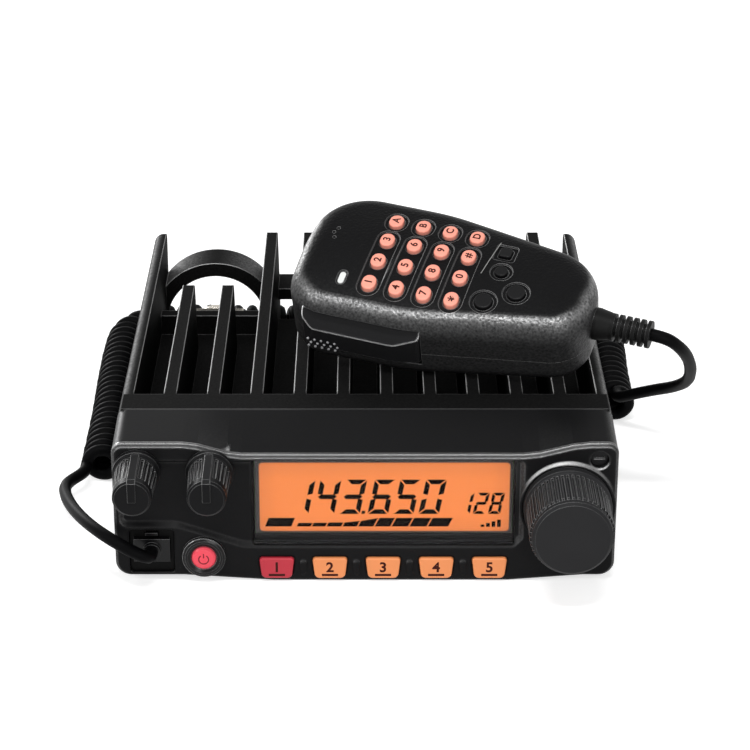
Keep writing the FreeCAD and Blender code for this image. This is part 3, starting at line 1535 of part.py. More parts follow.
def mic_strain_relief():
    """Ribbed rubber boot round the cord at the microphone's tail."""
    start = mic_tail + boot_seat_gap
    pitch = (boot_length - boot_neck_length - boot_rib_width) / (boot_ribs - 1)
    profile = [(start - mic_wall - 1, 0), (start - mic_wall - 1, boot_core_radius),
               (start, boot_core_radius), (start, boot_collar_radius),
               (start + boot_collar_length, boot_collar_radius),
               (mic_tail + boot_neck_length, boot_rib_radius)]
    for i in range(boot_ribs):
        u = mic_tail + boot_neck_length + i * pitch
        profile += [(u, boot_rib_radius), (u + boot_rib_width, boot_rib_radius)]
        if i < boot_ribs - 1:
            profile += [(u + boot_rib_width, boot_core_radius), (u + pitch, boot_core_radius)]
    profile.append((mic_tail + boot_length, 0))
    points = []
    for u, radius in profile:
        point = Vector(u, radius, 0)
        if not points or (point - points[-1]).Length > EPSILON:
            points.append(point)
    boot = polygon_face(points).revolve(Vector(0, 0, 0), ALONG_X, 360)
    boot.translate(Vector(0, boot_v, boot_w))
    return boot


def lever_travel_at(u):
    """How far the lever's inner side goes in at u, when it is pressed fully."""
    return lever_stroke * (lever_pivot_u - u) / (lever_pivot_u - lever_head_end)


def lever_pivot_v():
    """Distance of the lever's pivot from the microphone's middle line."""
    return -mic_half_width + 3.2


def push_to_talk_lever():
    """Lever on the near side: crested outside, pivoted at its tail end."""
    side = mic_half_width
    plan = [(lever_head_end, -side + lever_end_sink),
            (lever_head_end + lever_ramp, -side - lever_rise),
            (lever_crest_end, -side - lever_rise), (lever_tail_end, -side + lever_end_sink),
            (lever_tail_end, lever_inner_v), (lever_head_end, lever_inner_v)]
    radii = [1.5, 5.0, 12.0, 1.5, 1.5, 1.0]
    body = rounded_prism(xy(plan, lever_bottom), radii, Vector(0, 0, lever_top - lever_bottom))
    sections = []
    for u, crest in ((lever_head_end - 2, lever_crest_head), (lever_tail_end + 2,
                                                             lever_crest_tail)):
        slope = (lever_top - crest) / (lever_rise + 2.6)
        outer_v = -side - lever_rise
        points = [Vector(u, outer_v - 4, crest - 4 * slope), Vector(u, -side + 2.6, lever_top),
                  Vector(u, -side + 2.6, 5), Vector(u, outer_v - 4, 5)]
        sections.append(Part.makePolygon(points + [points[0]]))
    slope_cut = Part.makeLoft(sections, True, True)
    body = body.cut(slope_cut)

    def lower_outer(middle, edge):
        return middle.z < lever_bottom + EPSILON and middle.y < -side

    body = fillet_where(body, 1.2, lower_outer)
    bore = post(lever_pivot_u, lever_pivot_v(), lever_bottom - 1, lever_bottom + 5.3,
                lever_pivot_radius + lever_pivot_gap)
    return body.cut(bore)


def mic_status_lens():
    """Clear light guide of the transmit lamp."""
    lens = oval_prism(lens_u, lens_v, lens_width, lens_length, -3.4, 2)
    return lens.common(crown_bar(-recess_depth + 0.35))


def key_flange_top(v, reach):
    """Highest place for a key's flange under the crowned shell."""
    return crown_height(abs(v) + reach) - mic_wall - 0.25


def keypad_key(u, v):
    """Oval key cap with its flange under the shell."""
    bottom = mic_board_top + keypad_clearance
    cap = oval_prism(u, v, keypad_width, keypad_length, bottom, 3).common(crown_bar(keypad_rise))

    def top_rim(middle, edge):
        return middle.z > crown_height(v) and not edge.BoundBox.ZLength > 2

    cap = fillet_where(cap, 0.6, top_rim)
    reach = keypad_length / 2 + 0.6
    top = key_flange_top(v, reach)
    flange = oval_prism(u, v, keypad_width + 1.2, keypad_length + 1.2, top - 0.8, top)
    return fuse([cap, flange])


def program_prism(u, v, radius, is_square, w0, w1):
    """Outline of a program key, round or square with rounded corners, from w0 to w1."""
    if not is_square:
        return post(u, v, w0, w1, radius)
    points = xy([(u - radius, v - radius), (u + radius, v - radius),
                 (u + radius, v + radius), (u - radius, v + radius)], w0)
    return rounded_prism(points, [program_corner] * 4, Vector(0, 0, w1 - w0))


def program_key(u, v, radius, is_square):
    """Small black key with its flange under the shell."""
    bottom = mic_board_top + keypad_clearance
    cap = program_prism(u, v, radius, is_square, bottom, 3).common(crown_bar(program_rise))

    def top_rim(middle, edge):
        return middle.z > crown_height(v) and edge.BoundBox.ZLength < 2

    cap = fillet_where(cap, 0.4, top_rim)
    top = key_flange_top(v, radius + 0.6)
    return fuse([cap, program_prism(u, v, radius + 0.6, is_square, top - 0.8, top)])


def mic_slide_switch():
    """Slide switch in the far side of the microphone."""
    half_length = side_switch_length / 2
    half_height = side_switch_height / 2
    back = -mic_wall - 0.25
    slider = block(-half_length, half_length, back - 0.9, side_switch_rise,
                   -half_height, half_height)
    grips = [block(-half_length + 0.9 + i * 1.2, -half_length + 1.4 + i * 1.2,
                   side_switch_rise - 0.35, side_switch_rise + 1, -5, 5) for i in range(3)]
    flange = block(-half_length - 2.2, half_length + 2.2, back - 0.9, back,
                   -half_height - 0.9, half_height + 0.9)
    switch = cut(fuse([slider, flange]), grips)
    switch.Placement = side_switch_placement()
    return switch


def laid_on_fins(shape):
    """A piece of the microphone, moved from its own frame to where it lies."""
    laid = shape.copy()
    laid.Placement = mic_placement * shape.Placement
    return laid


# ================================================================ all nodes
def radio_nodes():
    """Every piece of the radio itself."""
    nodes = {
        "heat_sink_chassis": heat_sink_chassis(),
        "bottom_cover": bottom_cover(),
        "case_screws": case_screws(),
        "front_panel": front_panel(),
        "display_window": display_window(),
        "lcd_module": lcd_module(),
        "control_board": control_board(),
        "volume_pot": potentiometer(volume_x, small_knob_z, pot_side, pot_body_depth),
        "squelch_pot": potentiometer(squelch_x, small_knob_z, pot_side, pot_body_depth),
        "dial_encoder": potentiometer(dial_x, dial_z, encoder_side, pot_body_depth),
        "power_bezel": power_bezel(),
        "power_button": power_button(),
        "mic_jack": mic_jack(),
        "mic_plug": mic_plug(),
        "volume_knob": small_knob(volume_x),
        "squelch_knob": small_knob(squelch_x),
        "tuning_dial": tuning_dial(),
        "main_board": main_board(),
        "power_transistors": power_transistors(),
        "speaker": speaker(),
        "antenna_connector": antenna_connector(),
        "speaker_jack": speaker_jack(),
        "power_grommet": power_grommet(),
        "radio_side_lead": tube_along(radio_side_route(), wire_diameter, "radio_side_lead"),
        "coiled_cord": tube_along(coil_route(), coil_diameter, "coiled_cord"),
        "mic_side_lead": tube_along(mic_side_route(), wire_diameter, "mic_side_lead"),
    }
    for i, x in enumerate(function_key_places()):
        nodes["function_key_" + str(i + 1)] = function_key(x)
    return nodes


def microphone_nodes():
    """Every piece of the hand microphone, in its own frame."""
    shell = mic_shell()
    nodes = {
        "mic_front_shell": mic_front_shell(shell),
        "mic_back_shell": mic_back_shell(shell),
        "mic_screws": mic_screws(),
        "mic_board": mic_board(),
        "mic_hanger_stud": mic_hanger_stud(),
        "mic_strain_relief": mic_strain_relief(),
        "push_to_talk_lever": push_to_talk_lever(),
        "mic_status_lens": mic_status_lens(),
        "mic_slide_switch": mic_slide_switch(),
    }
    for label, u, v in keypad_places():
        nodes["keypad_key_" + label] = keypad_key(u, v)
    for i, (u, v, radius, is_square) in enumerate(program_keys):
        nodes["program_key_" + str(i + 1)] = program_key(u, v, radius, is_square)
    return nodes


def export(nodes):
    """Write one STEP file for each node, with the origin in the bottom plate's middle."""
    os.makedirs("parts", exist_ok=True)
    to_origin = Vector(0, -(cover_front + cover_back) / 2, 0)
    for name, shape in nodes.items():
        placed = shape.copy()
        placed.translate(to_origin)
        placed.exportStep("parts/" + name + ".step")


all_nodes = radio_nodes()
for node_name, node_shape in microphone_nodes().items():
    all_nodes[node_name] = laid_on_fins(node_shape)
export(all_nodes)
print("nodes", len(all_nodes))
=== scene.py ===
"""Looks of a mobile radio transceiver with its hand microphone.

Everything is in metres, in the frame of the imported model: +X to the right seen from the
front, +Y to the back, +Z up, the origin on the table in the middle of the bottom plate.
Places written in millimetres are measured as on a drawing, with y = 0 at the panel's front.
"""

import logging
import math
from dataclasses import dataclass, field
from enum import Enum

import bmesh
import bpy
from mathutils import Matrix, Vector


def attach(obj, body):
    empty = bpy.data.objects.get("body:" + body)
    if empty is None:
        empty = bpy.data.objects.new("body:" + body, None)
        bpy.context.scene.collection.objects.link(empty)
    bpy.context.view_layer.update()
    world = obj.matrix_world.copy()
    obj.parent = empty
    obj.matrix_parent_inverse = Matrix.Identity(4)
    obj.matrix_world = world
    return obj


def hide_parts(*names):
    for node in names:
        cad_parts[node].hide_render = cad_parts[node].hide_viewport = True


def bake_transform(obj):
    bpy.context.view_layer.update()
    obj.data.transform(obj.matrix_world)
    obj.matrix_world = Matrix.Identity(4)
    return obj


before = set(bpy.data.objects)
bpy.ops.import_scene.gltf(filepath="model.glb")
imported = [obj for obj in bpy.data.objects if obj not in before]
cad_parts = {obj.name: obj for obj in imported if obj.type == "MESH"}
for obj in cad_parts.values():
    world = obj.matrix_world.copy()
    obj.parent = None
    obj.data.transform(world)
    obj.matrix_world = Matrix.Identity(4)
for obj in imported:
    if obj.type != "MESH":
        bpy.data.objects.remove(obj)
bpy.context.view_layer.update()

log = logging.getLogger("transceiver")

MM = 0.001
PLATE_MIDDLE = 92.0  # mm from the panel's front to the middle of the bottom plate
LEAST_ROUGHNESS = 0.03
UNEVEN = 0.07  # how far roughness swings to each side
COAT_ROUGHNESS = 0.22
INK = 0.05  # height of printed figures in mm
THIN_INK = 0.04  # height of printed bars and lines in mm
Point = tuple[float, float, float]
Flat = tuple[float, float]
Colour = tuple[float, float, float]


class Body(Enum):
    """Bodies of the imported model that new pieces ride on."""

    RADIO = "radio"
    MICROPHONE = "hand_mic"
    LEVER = "push_to_talk_lever"
    POWER = "power_button"


class Surface(Enum):
    """Whether a moulding lies open to wear at its edges; it scales the edge lightening, which is wear
    and a painted highlight, and the edge gloss.
    """

    HANDLED = 1.0
    SHELTERED = 0.35


class Bend(Enum):
    """Which bends of a surface get a painted highlight, where a lamp's reflection would fall: stops of
    a mask over one part of the normal.

    Each stop is a place and a value; the place runs from 0 (normal at -1) to 1 (normal at +1).
    """

    SHOULDER = ("Z", ((0.05, 0.0), (0.25, 0.16), (0.5, 0.19), (0.65, 0.26), (0.75, 0.65),
                      (0.8, 1.0), (0.85, 0.8), (0.89, 0.12), (0.92, 0.0)))
    CORNER = ("X", ((0.0, 0.0), (0.05, 0.0), (0.14, 1.0), (0.25, 0.5), (0.42, 0.0), (0.58, 0.0),
                    (0.75, 0.5), (0.86, 1.0), (0.95, 0.0), (1.0, 0.0)))


def linear(red: int, green: int, blue: int) -> Colour:
    """Turn a colour written as 0 to 255 into linear light.

    Args:
        red: Red as seen on a screen.
        green: Green as seen on a screen.
        blue: Blue as seen on a screen.

    Returns:
        The three linear values.
    """
    def one(value: int) -> float:
        """One channel in linear light."""
        share = value / 255
        return share / 12.92 if share <= 0.04045 else ((share + 0.055) / 1.055) ** 2.4

    return one(red), one(green), one(blue)


def spot(x: float, y: float, z: float) -> Vector:
    """A place written in millimetres from the panel's front, as a vector in the frame."""
    return Vector((x, y - PLATE_MIDDLE, z)) * MM


def metres(points: tuple[Point, ...]) -> list[Vector]:
    """Places written in millimetres from the panel's front, as vectors in the frame."""
    return [spot(*point) for point in points]


# ---------------------------------------------------------------- nodes
def feed(tree: bpy.types.NodeTree, node: bpy.types.Node, feeds: dict[str | int, object]) -> None:
    """Give a node's inputs what they take.

    Args:
        tree: The node tree.
        node: The node.
        feeds: A socket to link or a plain value to set, by the input's name or number.
    """
    for name, source in feeds.items():
        if isinstance(source, bpy.types.NodeSocket):
            tree.links.new(source, node.inputs[name])
        else:
            node.inputs[name].default_value = source


def add_node(tree: bpy.types.NodeTree, kind: str, feeds: dict[str | int, object] | None = None,
             **settings: object) -> bpy.types.Node:
    """Add a node with its settings, values and links.

    Args:
        tree: The node tree.
        kind: Type of the node.
        feeds: What its inputs take, as for feed.
        settings: The node's own settings, such as its operation.

    Returns:
        The node.
    """
    node = tree.nodes.new(kind)
    for name, value in settings.items():
        setattr(node, name, value)
    feed(tree, node, feeds or {})
    return node


def reckon(tree: bpy.types.NodeTree, operation: str, *terms: object) -> bpy.types.NodeSocket:
    """Arithmetic on numbers, each a socket or a plain one."""
    node = add_node(tree, "ShaderNodeMath", dict(enumerate(terms)), operation=operation)
    return node.outputs["Value"]


def mapped(tree: bpy.types.NodeTree, value: bpy.types.NodeSocket,
           start: tuple[object, object] = (0.0, 1.0),
           end: tuple[object, object] = (0.0, 1.0)) -> bpy.types.NodeSocket:
    """Map a value from one span to another, held at the span's ends.

    Args:
        tree: The node tree.
        value: The value's socket.
        start: The two ends that the value comes from, plain or sockets.
        end: The two ends that they become.

    Returns:
        The mapped value's socket.
    """
    node = add_node(tree, "ShaderNodeMapRange", {
        "Value": value, "From Min": start[0], "From Max": start[1],
        "To Min": end[0], "To Max": end[1],
    })
    return node.outputs["Result"]


# ---------------------------------------------------------------- shader groups
class ShaderGroups:
    """Node groups that several finishes share, each built once.

    Attributes:
        EDGE: How far the rounded normal agrees with the plain one, off an edge and on it.
        UPWARD: Upward part of the normal over which the edge mask comes in; the mask is wear and a
            painted highlight from lamps above.
        SIDEWAYS: Sideways part of the normal, from the shaded side to the lit one.
        SIDE_SHARE: Share of the edge mask that edges on those two sides keep, so that its painted
            highlight is stronger on the lit side.
        SPECKLE: Heights of the grain that are told apart in a mask.
        SPECKLE_SHARE: Share of the mask on the lowest and the highest of them.
    """

    EDGE = (0.995, 0.86)
    UPWARD = (0.15, 0.6)
    SIDEWAYS = (0.35, -0.35)
    SIDE_SHARE = (0.5, 1.5)
    SPECKLE = (0.3, 0.7)
    SPECKLE_SHARE = (0.4, 1.6)

    def __init__(self) -> None:
        """Build every shared group."""
        self.grain = self._grain()
        self.edges = self._edges()
        self.bends = {bend: self._bend(bend) for bend in Bend}

    @staticmethod
    def _new(name: str, inputs: dict[str, float],
             outputs: dict[str, str]) -> tuple[bpy.types.NodeTree, bpy.types.Node]:
        """Start a shader group with named sockets.

        Args:
            name: Name of the group.
            inputs: Names of its float inputs and their values.
            outputs: Names of its outputs and their socket types.

        Returns:
            The group and its input node.
        """
        tree = bpy.data.node_groups.new(name, "ShaderNodeTree")
        for label, value in inputs.items():
            socket = tree.interface.new_socket(label, in_out="INPUT", socket_type="NodeSocketFloat")
            socket.default_value = value
        for label, kind in outputs.items():
            tree.interface.new_socket(label, in_out="OUTPUT", socket_type=kind)
        return tree, tree.nodes.new("NodeGroupInput")

    def _grain(self) -> bpy.types.NodeTree:
        """Fine pebbled grain of a cast or moulded skin, with slow clouds in its tone."""
        tree, ins = self._new("fine_grain",
                              {"Grain Scale": 2600.0, "Cloud Scale": 45.0, "Pits": 0.3},
                              {"Height": "NodeSocketFloat", "Cloud": "NodeSocketFloat"})
        given = ins.outputs
        place = add_node(tree, "ShaderNodeTexCoord").outputs["Object"]
        grain = add_node(tree, "ShaderNodeTexNoise", {
            "Vector": place, "Scale": given["Grain Scale"], "Detail": 3.0, "Roughness": 0.55})
        pits = add_node(tree, "ShaderNodeTexVoronoi", {
            "Vector": place, "Scale": given["Grain Scale"]})
        cloud = add_node(tree, "ShaderNodeTexNoise", {
            "Vector": place, "Scale": given["Cloud Scale"], "Detail": 2.0})
        blend = add_node(tree, "ShaderNodeMix", {
            "Factor": given["Pits"], "A": grain.outputs["Fac"], "B": pits.outputs["Distance"]})
        add_node(tree, "NodeGroupOutput", {
            "Height": blend.outputs["Result"], "Cloud": cloud.outputs["Fac"]})
        return tree

    def _edges(self) -> bpy.types.NodeTree:
        """Softly rounded edges, and a mask of where they are lightened: partly wear, partly a painted
        highlight.

        The mask fades on edges that look down, that lie low or far back, and on the shaded side, so
        that its highlight is painted as if from lamps above and to the left.
        """
        tree, ins = self._new("soft_edges", {"Radius": 0.0003, "Downward Share": 0.2,
                                             "Foot Share": 1.0, "Foot": 0.026, "Crown": 0.043,
                                             "Far Share": 1.0, "Whole": -0.086, "Far": -0.082},
                              {"Mask": "NodeSocketFloat", "Normal": "NodeSocketVector"})
        given = ins.outputs
        bevel = add_node(tree, "ShaderNodeBevel", {"Radius": given["Radius"]}, samples=6)
        plain = add_node(tree, "ShaderNodeNewGeometry")
        facing = add_node(tree, "ShaderNodeVectorMath", {
            0: bevel.outputs["Normal"], 1: plain.outputs["Normal"]}, operation="DOT_PRODUCT")
        way = add_node(tree, "ShaderNodeSeparateXYZ", {"Vector": bevel.outputs["Normal"]}).outputs
        place = add_node(tree, "ShaderNodeTexCoord").outputs["Object"]
        level = add_node(tree, "ShaderNodeSeparateXYZ", {"Vector": place}).outputs
        # The mask paints a highlight on top of wear: it is weaker on edges that face down, lie low or
        # far back, or face right.
        shares = (
            mapped(tree, way["Z"], self.UPWARD, (given["Downward Share"], 1.0)),
            mapped(tree, level["Z"], (given["Foot"], given["Crown"]), (given["Foot Share"], 1.0)),
            mapped(tree, level["Y"], (given["Far"], given["Whole"]), (given["Far Share"], 1.0)),
            mapped(tree, way["X"], self.SIDEWAYS, self.SIDE_SHARE),
        )
        mask = mapped(tree, facing.outputs["Value"], self.EDGE)
        for share in shares:
            mask = reckon(tree, "MULTIPLY", mask, share)
        add_node(tree, "NodeGroupOutput", {"Mask": mask, "Normal": bevel.outputs["Normal"]})
        return tree

    def _bend(self, which: Bend) -> bpy.types.NodeTree:
        """Grainy mask of the painted highlight on the bends that catch the light.

        Args:
            which: Which part of the normal tells them, and the mask's stops over it.

        Returns:
            The group.
        """
        axis, stops = which.value
        tree, ins = self._new(f"{which.name.lower()}_light", {"Grain": 0.5},
                              {"Mask": "NodeSocketFloat"})
        normal = add_node(tree, "ShaderNodeNewGeometry").outputs["Normal"]
        way = add_node(tree, "ShaderNodeSeparateXYZ", {"Vector": normal})
        bend = add_node(tree, "ShaderNodeValToRGB", {
            "Fac": mapped(tree, way.outputs[axis], (-1.0, 1.0))})
        bend.color_ramp.interpolation = "B_SPLINE"
        marks = bend.color_ramp.elements
        for place, _ in stops[1:-1]:
            marks.new(place)
        for mark, (place, value) in zip(marks, stops):
            mark.position = place
            mark.color = (value, value, value, 1.0)
        speckle = mapped(tree, ins.outputs["Grain"], self.SPECKLE, self.SPECKLE_SHARE)
        add_node(tree, "NodeGroupOutput", {
            "Mask": reckon(tree, "MULTIPLY", bend.outputs["Color"], speckle)})
        return tree


# ---------------------------------------------------------------- finishes
@dataclass(frozen=True)
class Finish:
    """What every finish has.

    Attributes:
        name: Name of the material.
        colour: Base colour in linear light.
        roughness: Roughness in the middle of its variation.
    """

    name: str
    colour: Colour
    roughness: float = 0.5

    def start(self) -> tuple[bpy.types.Material, bpy.types.Node]:
        """Make an empty material with its shader.

        Returns:
            The material and its Principled shader.
        """
        material = bpy.data.materials.new(self.name)
        material.use_nodes = True
        material.diffuse_color = (*self.colour, 1.0)
        shader = material.node_tree.nodes["Principled BSDF"]
        shader.inputs["Base Color"].default_value = (*self.colour, 1.0)
        shader.inputs["Roughness"].default_value = self.roughness
        return material, shader

    def build(self, groups: ShaderGroups) -> bpy.types.Material:
        """The finish as a material; kinds of finish add their own nodes."""
        return self.start()[0]


@dataclass(frozen=True)
class Moulded(Finish):
    """Painted casting, moulded plastic, rubber or metal with a fine skin.

    Attributes:
        metallic: 1 for bare metal.
        specular: Specular level of the shader.
        grain: Scale of the grain's texture.
        depth: Height of the grain in metres.
        pits: Share of rounded pits in the grain.
        cloud: How much the tone varies over the surface.
        edge: Radius of the softened edges in metres.
        wear_and_highlight: How much lighter the edges are painted: wear, and a painted highlight where
            the edge mask favours lit edges.
        surface: Whether the surface is handled or sheltered.
        polish: Weight of the gloss that handling leaves on the edges.
        bare: How metallic the edges are under the edge mask of wear and painted highlight.
        down: How much of the edge lightening, wear and painted highlight, is kept by edges that look
            down or sideways.
        low: How much of the edge lightening the edges low on the case keep.
        far: How much of it is left beyond a place along Y.
        span: Places along Y in metres where the wear is whole, and where it is down to that.
        painted_bend_highlight: Strength of the painted highlight on the bends that catch the light,
            added to the colour and the metallic value; 0 for none.
        bend: Which bends those are.
        glow: Strength of its own light, where it is lit from behind.
    """

    metallic: float = 0.0
    specular: float = 0.25
    grain: float = 2600.0
    depth: float = 0.00002
    pits: float = 0.3
    cloud: float = 0.2
    edge: float = 0.00025
    wear_and_highlight: float = 0.03
    surface: Surface = Surface.HANDLED
    polish: float = 0.6
    bare: float = 0.0
    down: float = 0.2
    low: float = 1.0
    far: float = 1.0
    span: Flat = (-0.086, -0.082)
    painted_bend_highlight: float = 0.0
    bend: Bend = Bend.SHOULDER
    glow: float = 0.0

    def build(self, groups: ShaderGroups) -> bpy.types.Material:
        """Build the material from the shared grain and edge groups.

        Args:
            groups: The shared shader groups.

        Returns:
            The finished material.
        """
        material, shader = self.start()
        tree = material.node_tree
        grain = add_node(tree, "ShaderNodeGroup", node_tree=groups.grain)
        feed(tree, grain, {"Grain Scale": self.grain, "Pits": self.pits})
        edges = add_node(tree, "ShaderNodeGroup", {
            "Radius": self.edge, "Downward Share": self.down, "Foot Share": self.low,
            "Far Share": self.far, "Whole": self.span[0], "Far": self.span[1],
        }, node_tree=groups.edges)
        mask, cloud = edges.outputs["Mask"], grain.outputs["Cloud"]

        tone = mapped(tree, cloud, end=(1.0 - self.cloud, 1.0 + self.cloud))
        body = add_node(tree, "ShaderNodeVectorMath", {0: self.colour, "Scale": tone},
                        operation="SCALE")
        # Edges painted lighter: partly wear, partly a painted highlight, as the mask favours edges lit
        # from above and the left.
        added = mapped(tree, mask, end=(0.0, self.wear_and_highlight * self.surface.value))
        metal = self.metallic
        if self.bare or self.painted_bend_highlight:
            metal = mapped(tree, mask, end=(0.0, self.bare))
        # Painted highlight on the bends where a lamp's reflection falls: lighter colour and more
        # metallic there.
        if self.painted_bend_highlight:
            caught = add_node(tree, "ShaderNodeGroup", {"Grain": grain.outputs["Height"]},
                              node_tree=groups.bends[self.bend]).outputs["Mask"]
            added = reckon(tree, "MULTIPLY_ADD", caught, self.painted_bend_highlight, added)
            metal = reckon(tree, "MAXIMUM", caught, metal)
        lighter = add_node(tree, "ShaderNodeVectorMath", {0: body.outputs["Vector"], 1: added},
                           operation="ADD")
        bump = add_node(tree, "ShaderNodeBump", {
            "Distance": self.depth, "Height": grain.outputs["Height"],
            "Normal": edges.outputs["Normal"]})
        feed(tree, shader, {
            "Base Color": lighter.outputs["Vector"],
            "Roughness": mapped(tree, cloud, end=(max(LEAST_ROUGHNESS, self.roughness - UNEVEN),
                                                  min(1.0, self.roughness + UNEVEN))),
            "Metallic": metal,
            "Specular IOR Level": self.specular,
            "Coat Weight": mapped(tree, mask, end=(0.0, self.polish * self.surface.value)),
            "Coat Roughness": COAT_ROUGHNESS,
            "Emission Color": (*self.colour, 1.0),
            "Emission Strength": self.glow,
            "Normal": bump.outputs["Normal"],
        })
        return material


@dataclass(frozen=True)
class Clear(Finish):
    """Clear pane or light guide.

    Attributes:
        ior: Index of refraction.
        waves: Scale of the slight unevenness of its surface.
        depth: Height of that unevenness in metres.
    """

    ior: float = 1.49
    waves: float = 60.0
    depth: float = 0.00001

    def build(self, groups: ShaderGroups) -> bpy.types.Material:
        """A clear plastic whose surface is very slightly uneven."""
        material, shader = self.start()
        tree = material.node_tree
        grain = add_node(tree, "ShaderNodeGroup", {"Grain Scale": self.waves},
                         node_tree=groups.grain)
        bump = add_node(tree, "ShaderNodeBump", {
            "Distance": self.depth, "Height": grain.outputs["Height"]})
        feed(tree, shader, {"Normal": bump.outputs["Normal"], "Transmission Weight": 1.0,
                            "IOR": self.ior})
        return material


@dataclass(frozen=True)
class LitGlass(Finish):
    """Backlit display cell: its lit field, and the dark frame round it.

    Attributes:
        low: Lower left corner of the lit field, x and z in metres.
        high: Upper right corner of the lit field.
        strength: Strength of the backlight.
        corner: Radius of the lit field's corners in metres.
        fade: Width of the soft line round the field in metres.
        dim: Share of the light at the field's border.
        dim_width: How far in from the border the light is dimmed, in metres.
        clouds: Scale of the backlight's unevenness.
        cloud: How uneven the backlight is.
        unlit: Colour of the dark frame.
        skin: Share of the field's colour that its surface has when unlit.
    """

    low: Flat = (0.0, 0.0)
    high: Flat = (0.0, 0.0)
    strength: float = 0.8
    corner: float = 0.0014
    fade: float = 0.0004
    dim: float = 0.86
    dim_width: float = 0.006
    clouds: float = 30.0
    cloud: float = 0.05
    unlit: Colour = (0.012, 0.011, 0.01)
    skin: float = 0.25

    def build(self, groups: ShaderGroups) -> bpy.types.Material:
        """Build the lit cell.

        Args:
            groups: The shared shader groups.

        Returns:
            The finished material.
        """
        material, shader = self.start()
        tree = material.node_tree
        place = add_node(tree, "ShaderNodeTexCoord").outputs["Object"]
        split = add_node(tree, "ShaderNodeSeparateXYZ", {"Vector": place})
        field_mask = self.rounded_field(tree, place)
        for axis, low, high in zip("XZ", self.low, self.high):
            half = (high - low) / 2
            off = reckon(tree, "SUBTRACT", split.outputs[axis], (low + high) / 2)
            shade = mapped(tree, reckon(tree, "ABSOLUTE", off), (half, half - self.dim_width),
                           (self.dim, 1.0))
            field_mask = reckon(tree, "MULTIPLY", field_mask, shade)
        grain = add_node(tree, "ShaderNodeGroup", {"Cloud Scale": self.clouds},
                         node_tree=groups.grain)
        tone = mapped(tree, grain.outputs["Cloud"], end=(1.0 - self.cloud, 1.0 + self.cloud))
        glow = add_node(tree, "ShaderNodeVectorMath", {
            0: self.colour, "Scale": reckon(tree, "MULTIPLY", field_mask, tone)},
            operation="SCALE")
        skin = add_node(tree, "ShaderNodeMix", {
            "A": (*self.unlit, 1.0), "B": (*[value * self.skin for value in self.colour], 1.0),
            "Factor": field_mask}, data_type="RGBA")
        feed(tree, shader, {
            "Emission Color": glow.outputs["Vector"], "Base Color": skin.outputs["Result"],
            "Emission Strength": self.strength})
        return material

    def rounded_field(self, tree: bpy.types.NodeTree,
                      place: bpy.types.NodeSocket) -> bpy.types.NodeSocket:
        """Mask of the lit field, with its rounded corners.

        Args:
            tree: The material's node tree.
            place: Socket of the place on the object.

        Returns:
            The mask's socket.
        """
        middle = [(low + high) / 2 for low, high in zip(self.low, self.high)]
        inner = [(high - low) / 2 - self.corner for low, high in zip(self.low, self.high)]
        steps = (("SUBTRACT", (middle[0], 0.0, middle[1])), ("ABSOLUTE",),
                 ("SUBTRACT", (inner[0], 0.0, inner[1])), ("MAXIMUM", (0.0, 0.0, 0.0)),
                 ("MULTIPLY", (1.0, 0.0, 1.0)))
        for operation, *amount in steps:
            place = add_node(tree, "ShaderNodeVectorMath", dict(enumerate([place, *amount])),
                             operation=operation).outputs["Vector"]
        reach = add_node(tree, "ShaderNodeVectorMath", {0: place}, operation="LENGTH")
        return mapped(tree, reach.outputs["Value"], (self.corner, self.corner - self.fade))


@dataclass(frozen=True)
class PrintedBoard(Finish):
    """Printed circuit board: lacquer over a pattern of copper tracks.

    Attributes:
        copper: Colour of the tracks under the lacquer.
        scale: Scale of the tracks' pattern.
        border: Distances in the pattern between which lacquer turns into track.
        depth: Height of the tracks in metres.
    """

    copper: Colour = (0.05, 0.16, 0.05)
    scale: float = 260.0
    border: Flat = (0.55, 0.6)
    depth: float = 0.00003

    def build(self, groups: ShaderGroups) -> bpy.types.Material:
        """Build the board's lacquer and tracks."""
        material, shader = self.start()
        tree = material.node_tree
        place = add_node(tree, "ShaderNodeTexCoord").outputs["Object"]
        tracks = add_node(tree, "ShaderNodeTexVoronoi", distance="MANHATTAN", feature="F2")
        feed(tree, tracks, {"Vector": place, "Scale": self.scale})
        sharp = mapped(tree, tracks.outputs["Distance"], self.border)
        tone = add_node(tree, "ShaderNodeMix", {
            "A": (*self.colour, 1.0), "B": (*self.copper, 1.0), "Factor": sharp},
            data_type="RGBA")
        bump = add_node(tree, "ShaderNodeBump", {"Distance": self.depth, "Height": sharp})
        feed(tree, shader, {"Base Color": tone.outputs["Result"],
                            "Normal": bump.outputs["Normal"]})
        return material


@dataclass
class FinishShelf:
    """Every finish of the radio, built when it is first asked for."""

    groups: ShaderGroups
    finishes: dict[str, Finish]
    made: dict[str, bpy.types.Material] = field(default_factory=dict)

    def get(self, name: str) -> bpy.types.Material:
        """The material of a finish, by name."""
        if name not in self.made:
            self.made[name] = self.finishes[name].build(self.groups)
        return self.made[name]


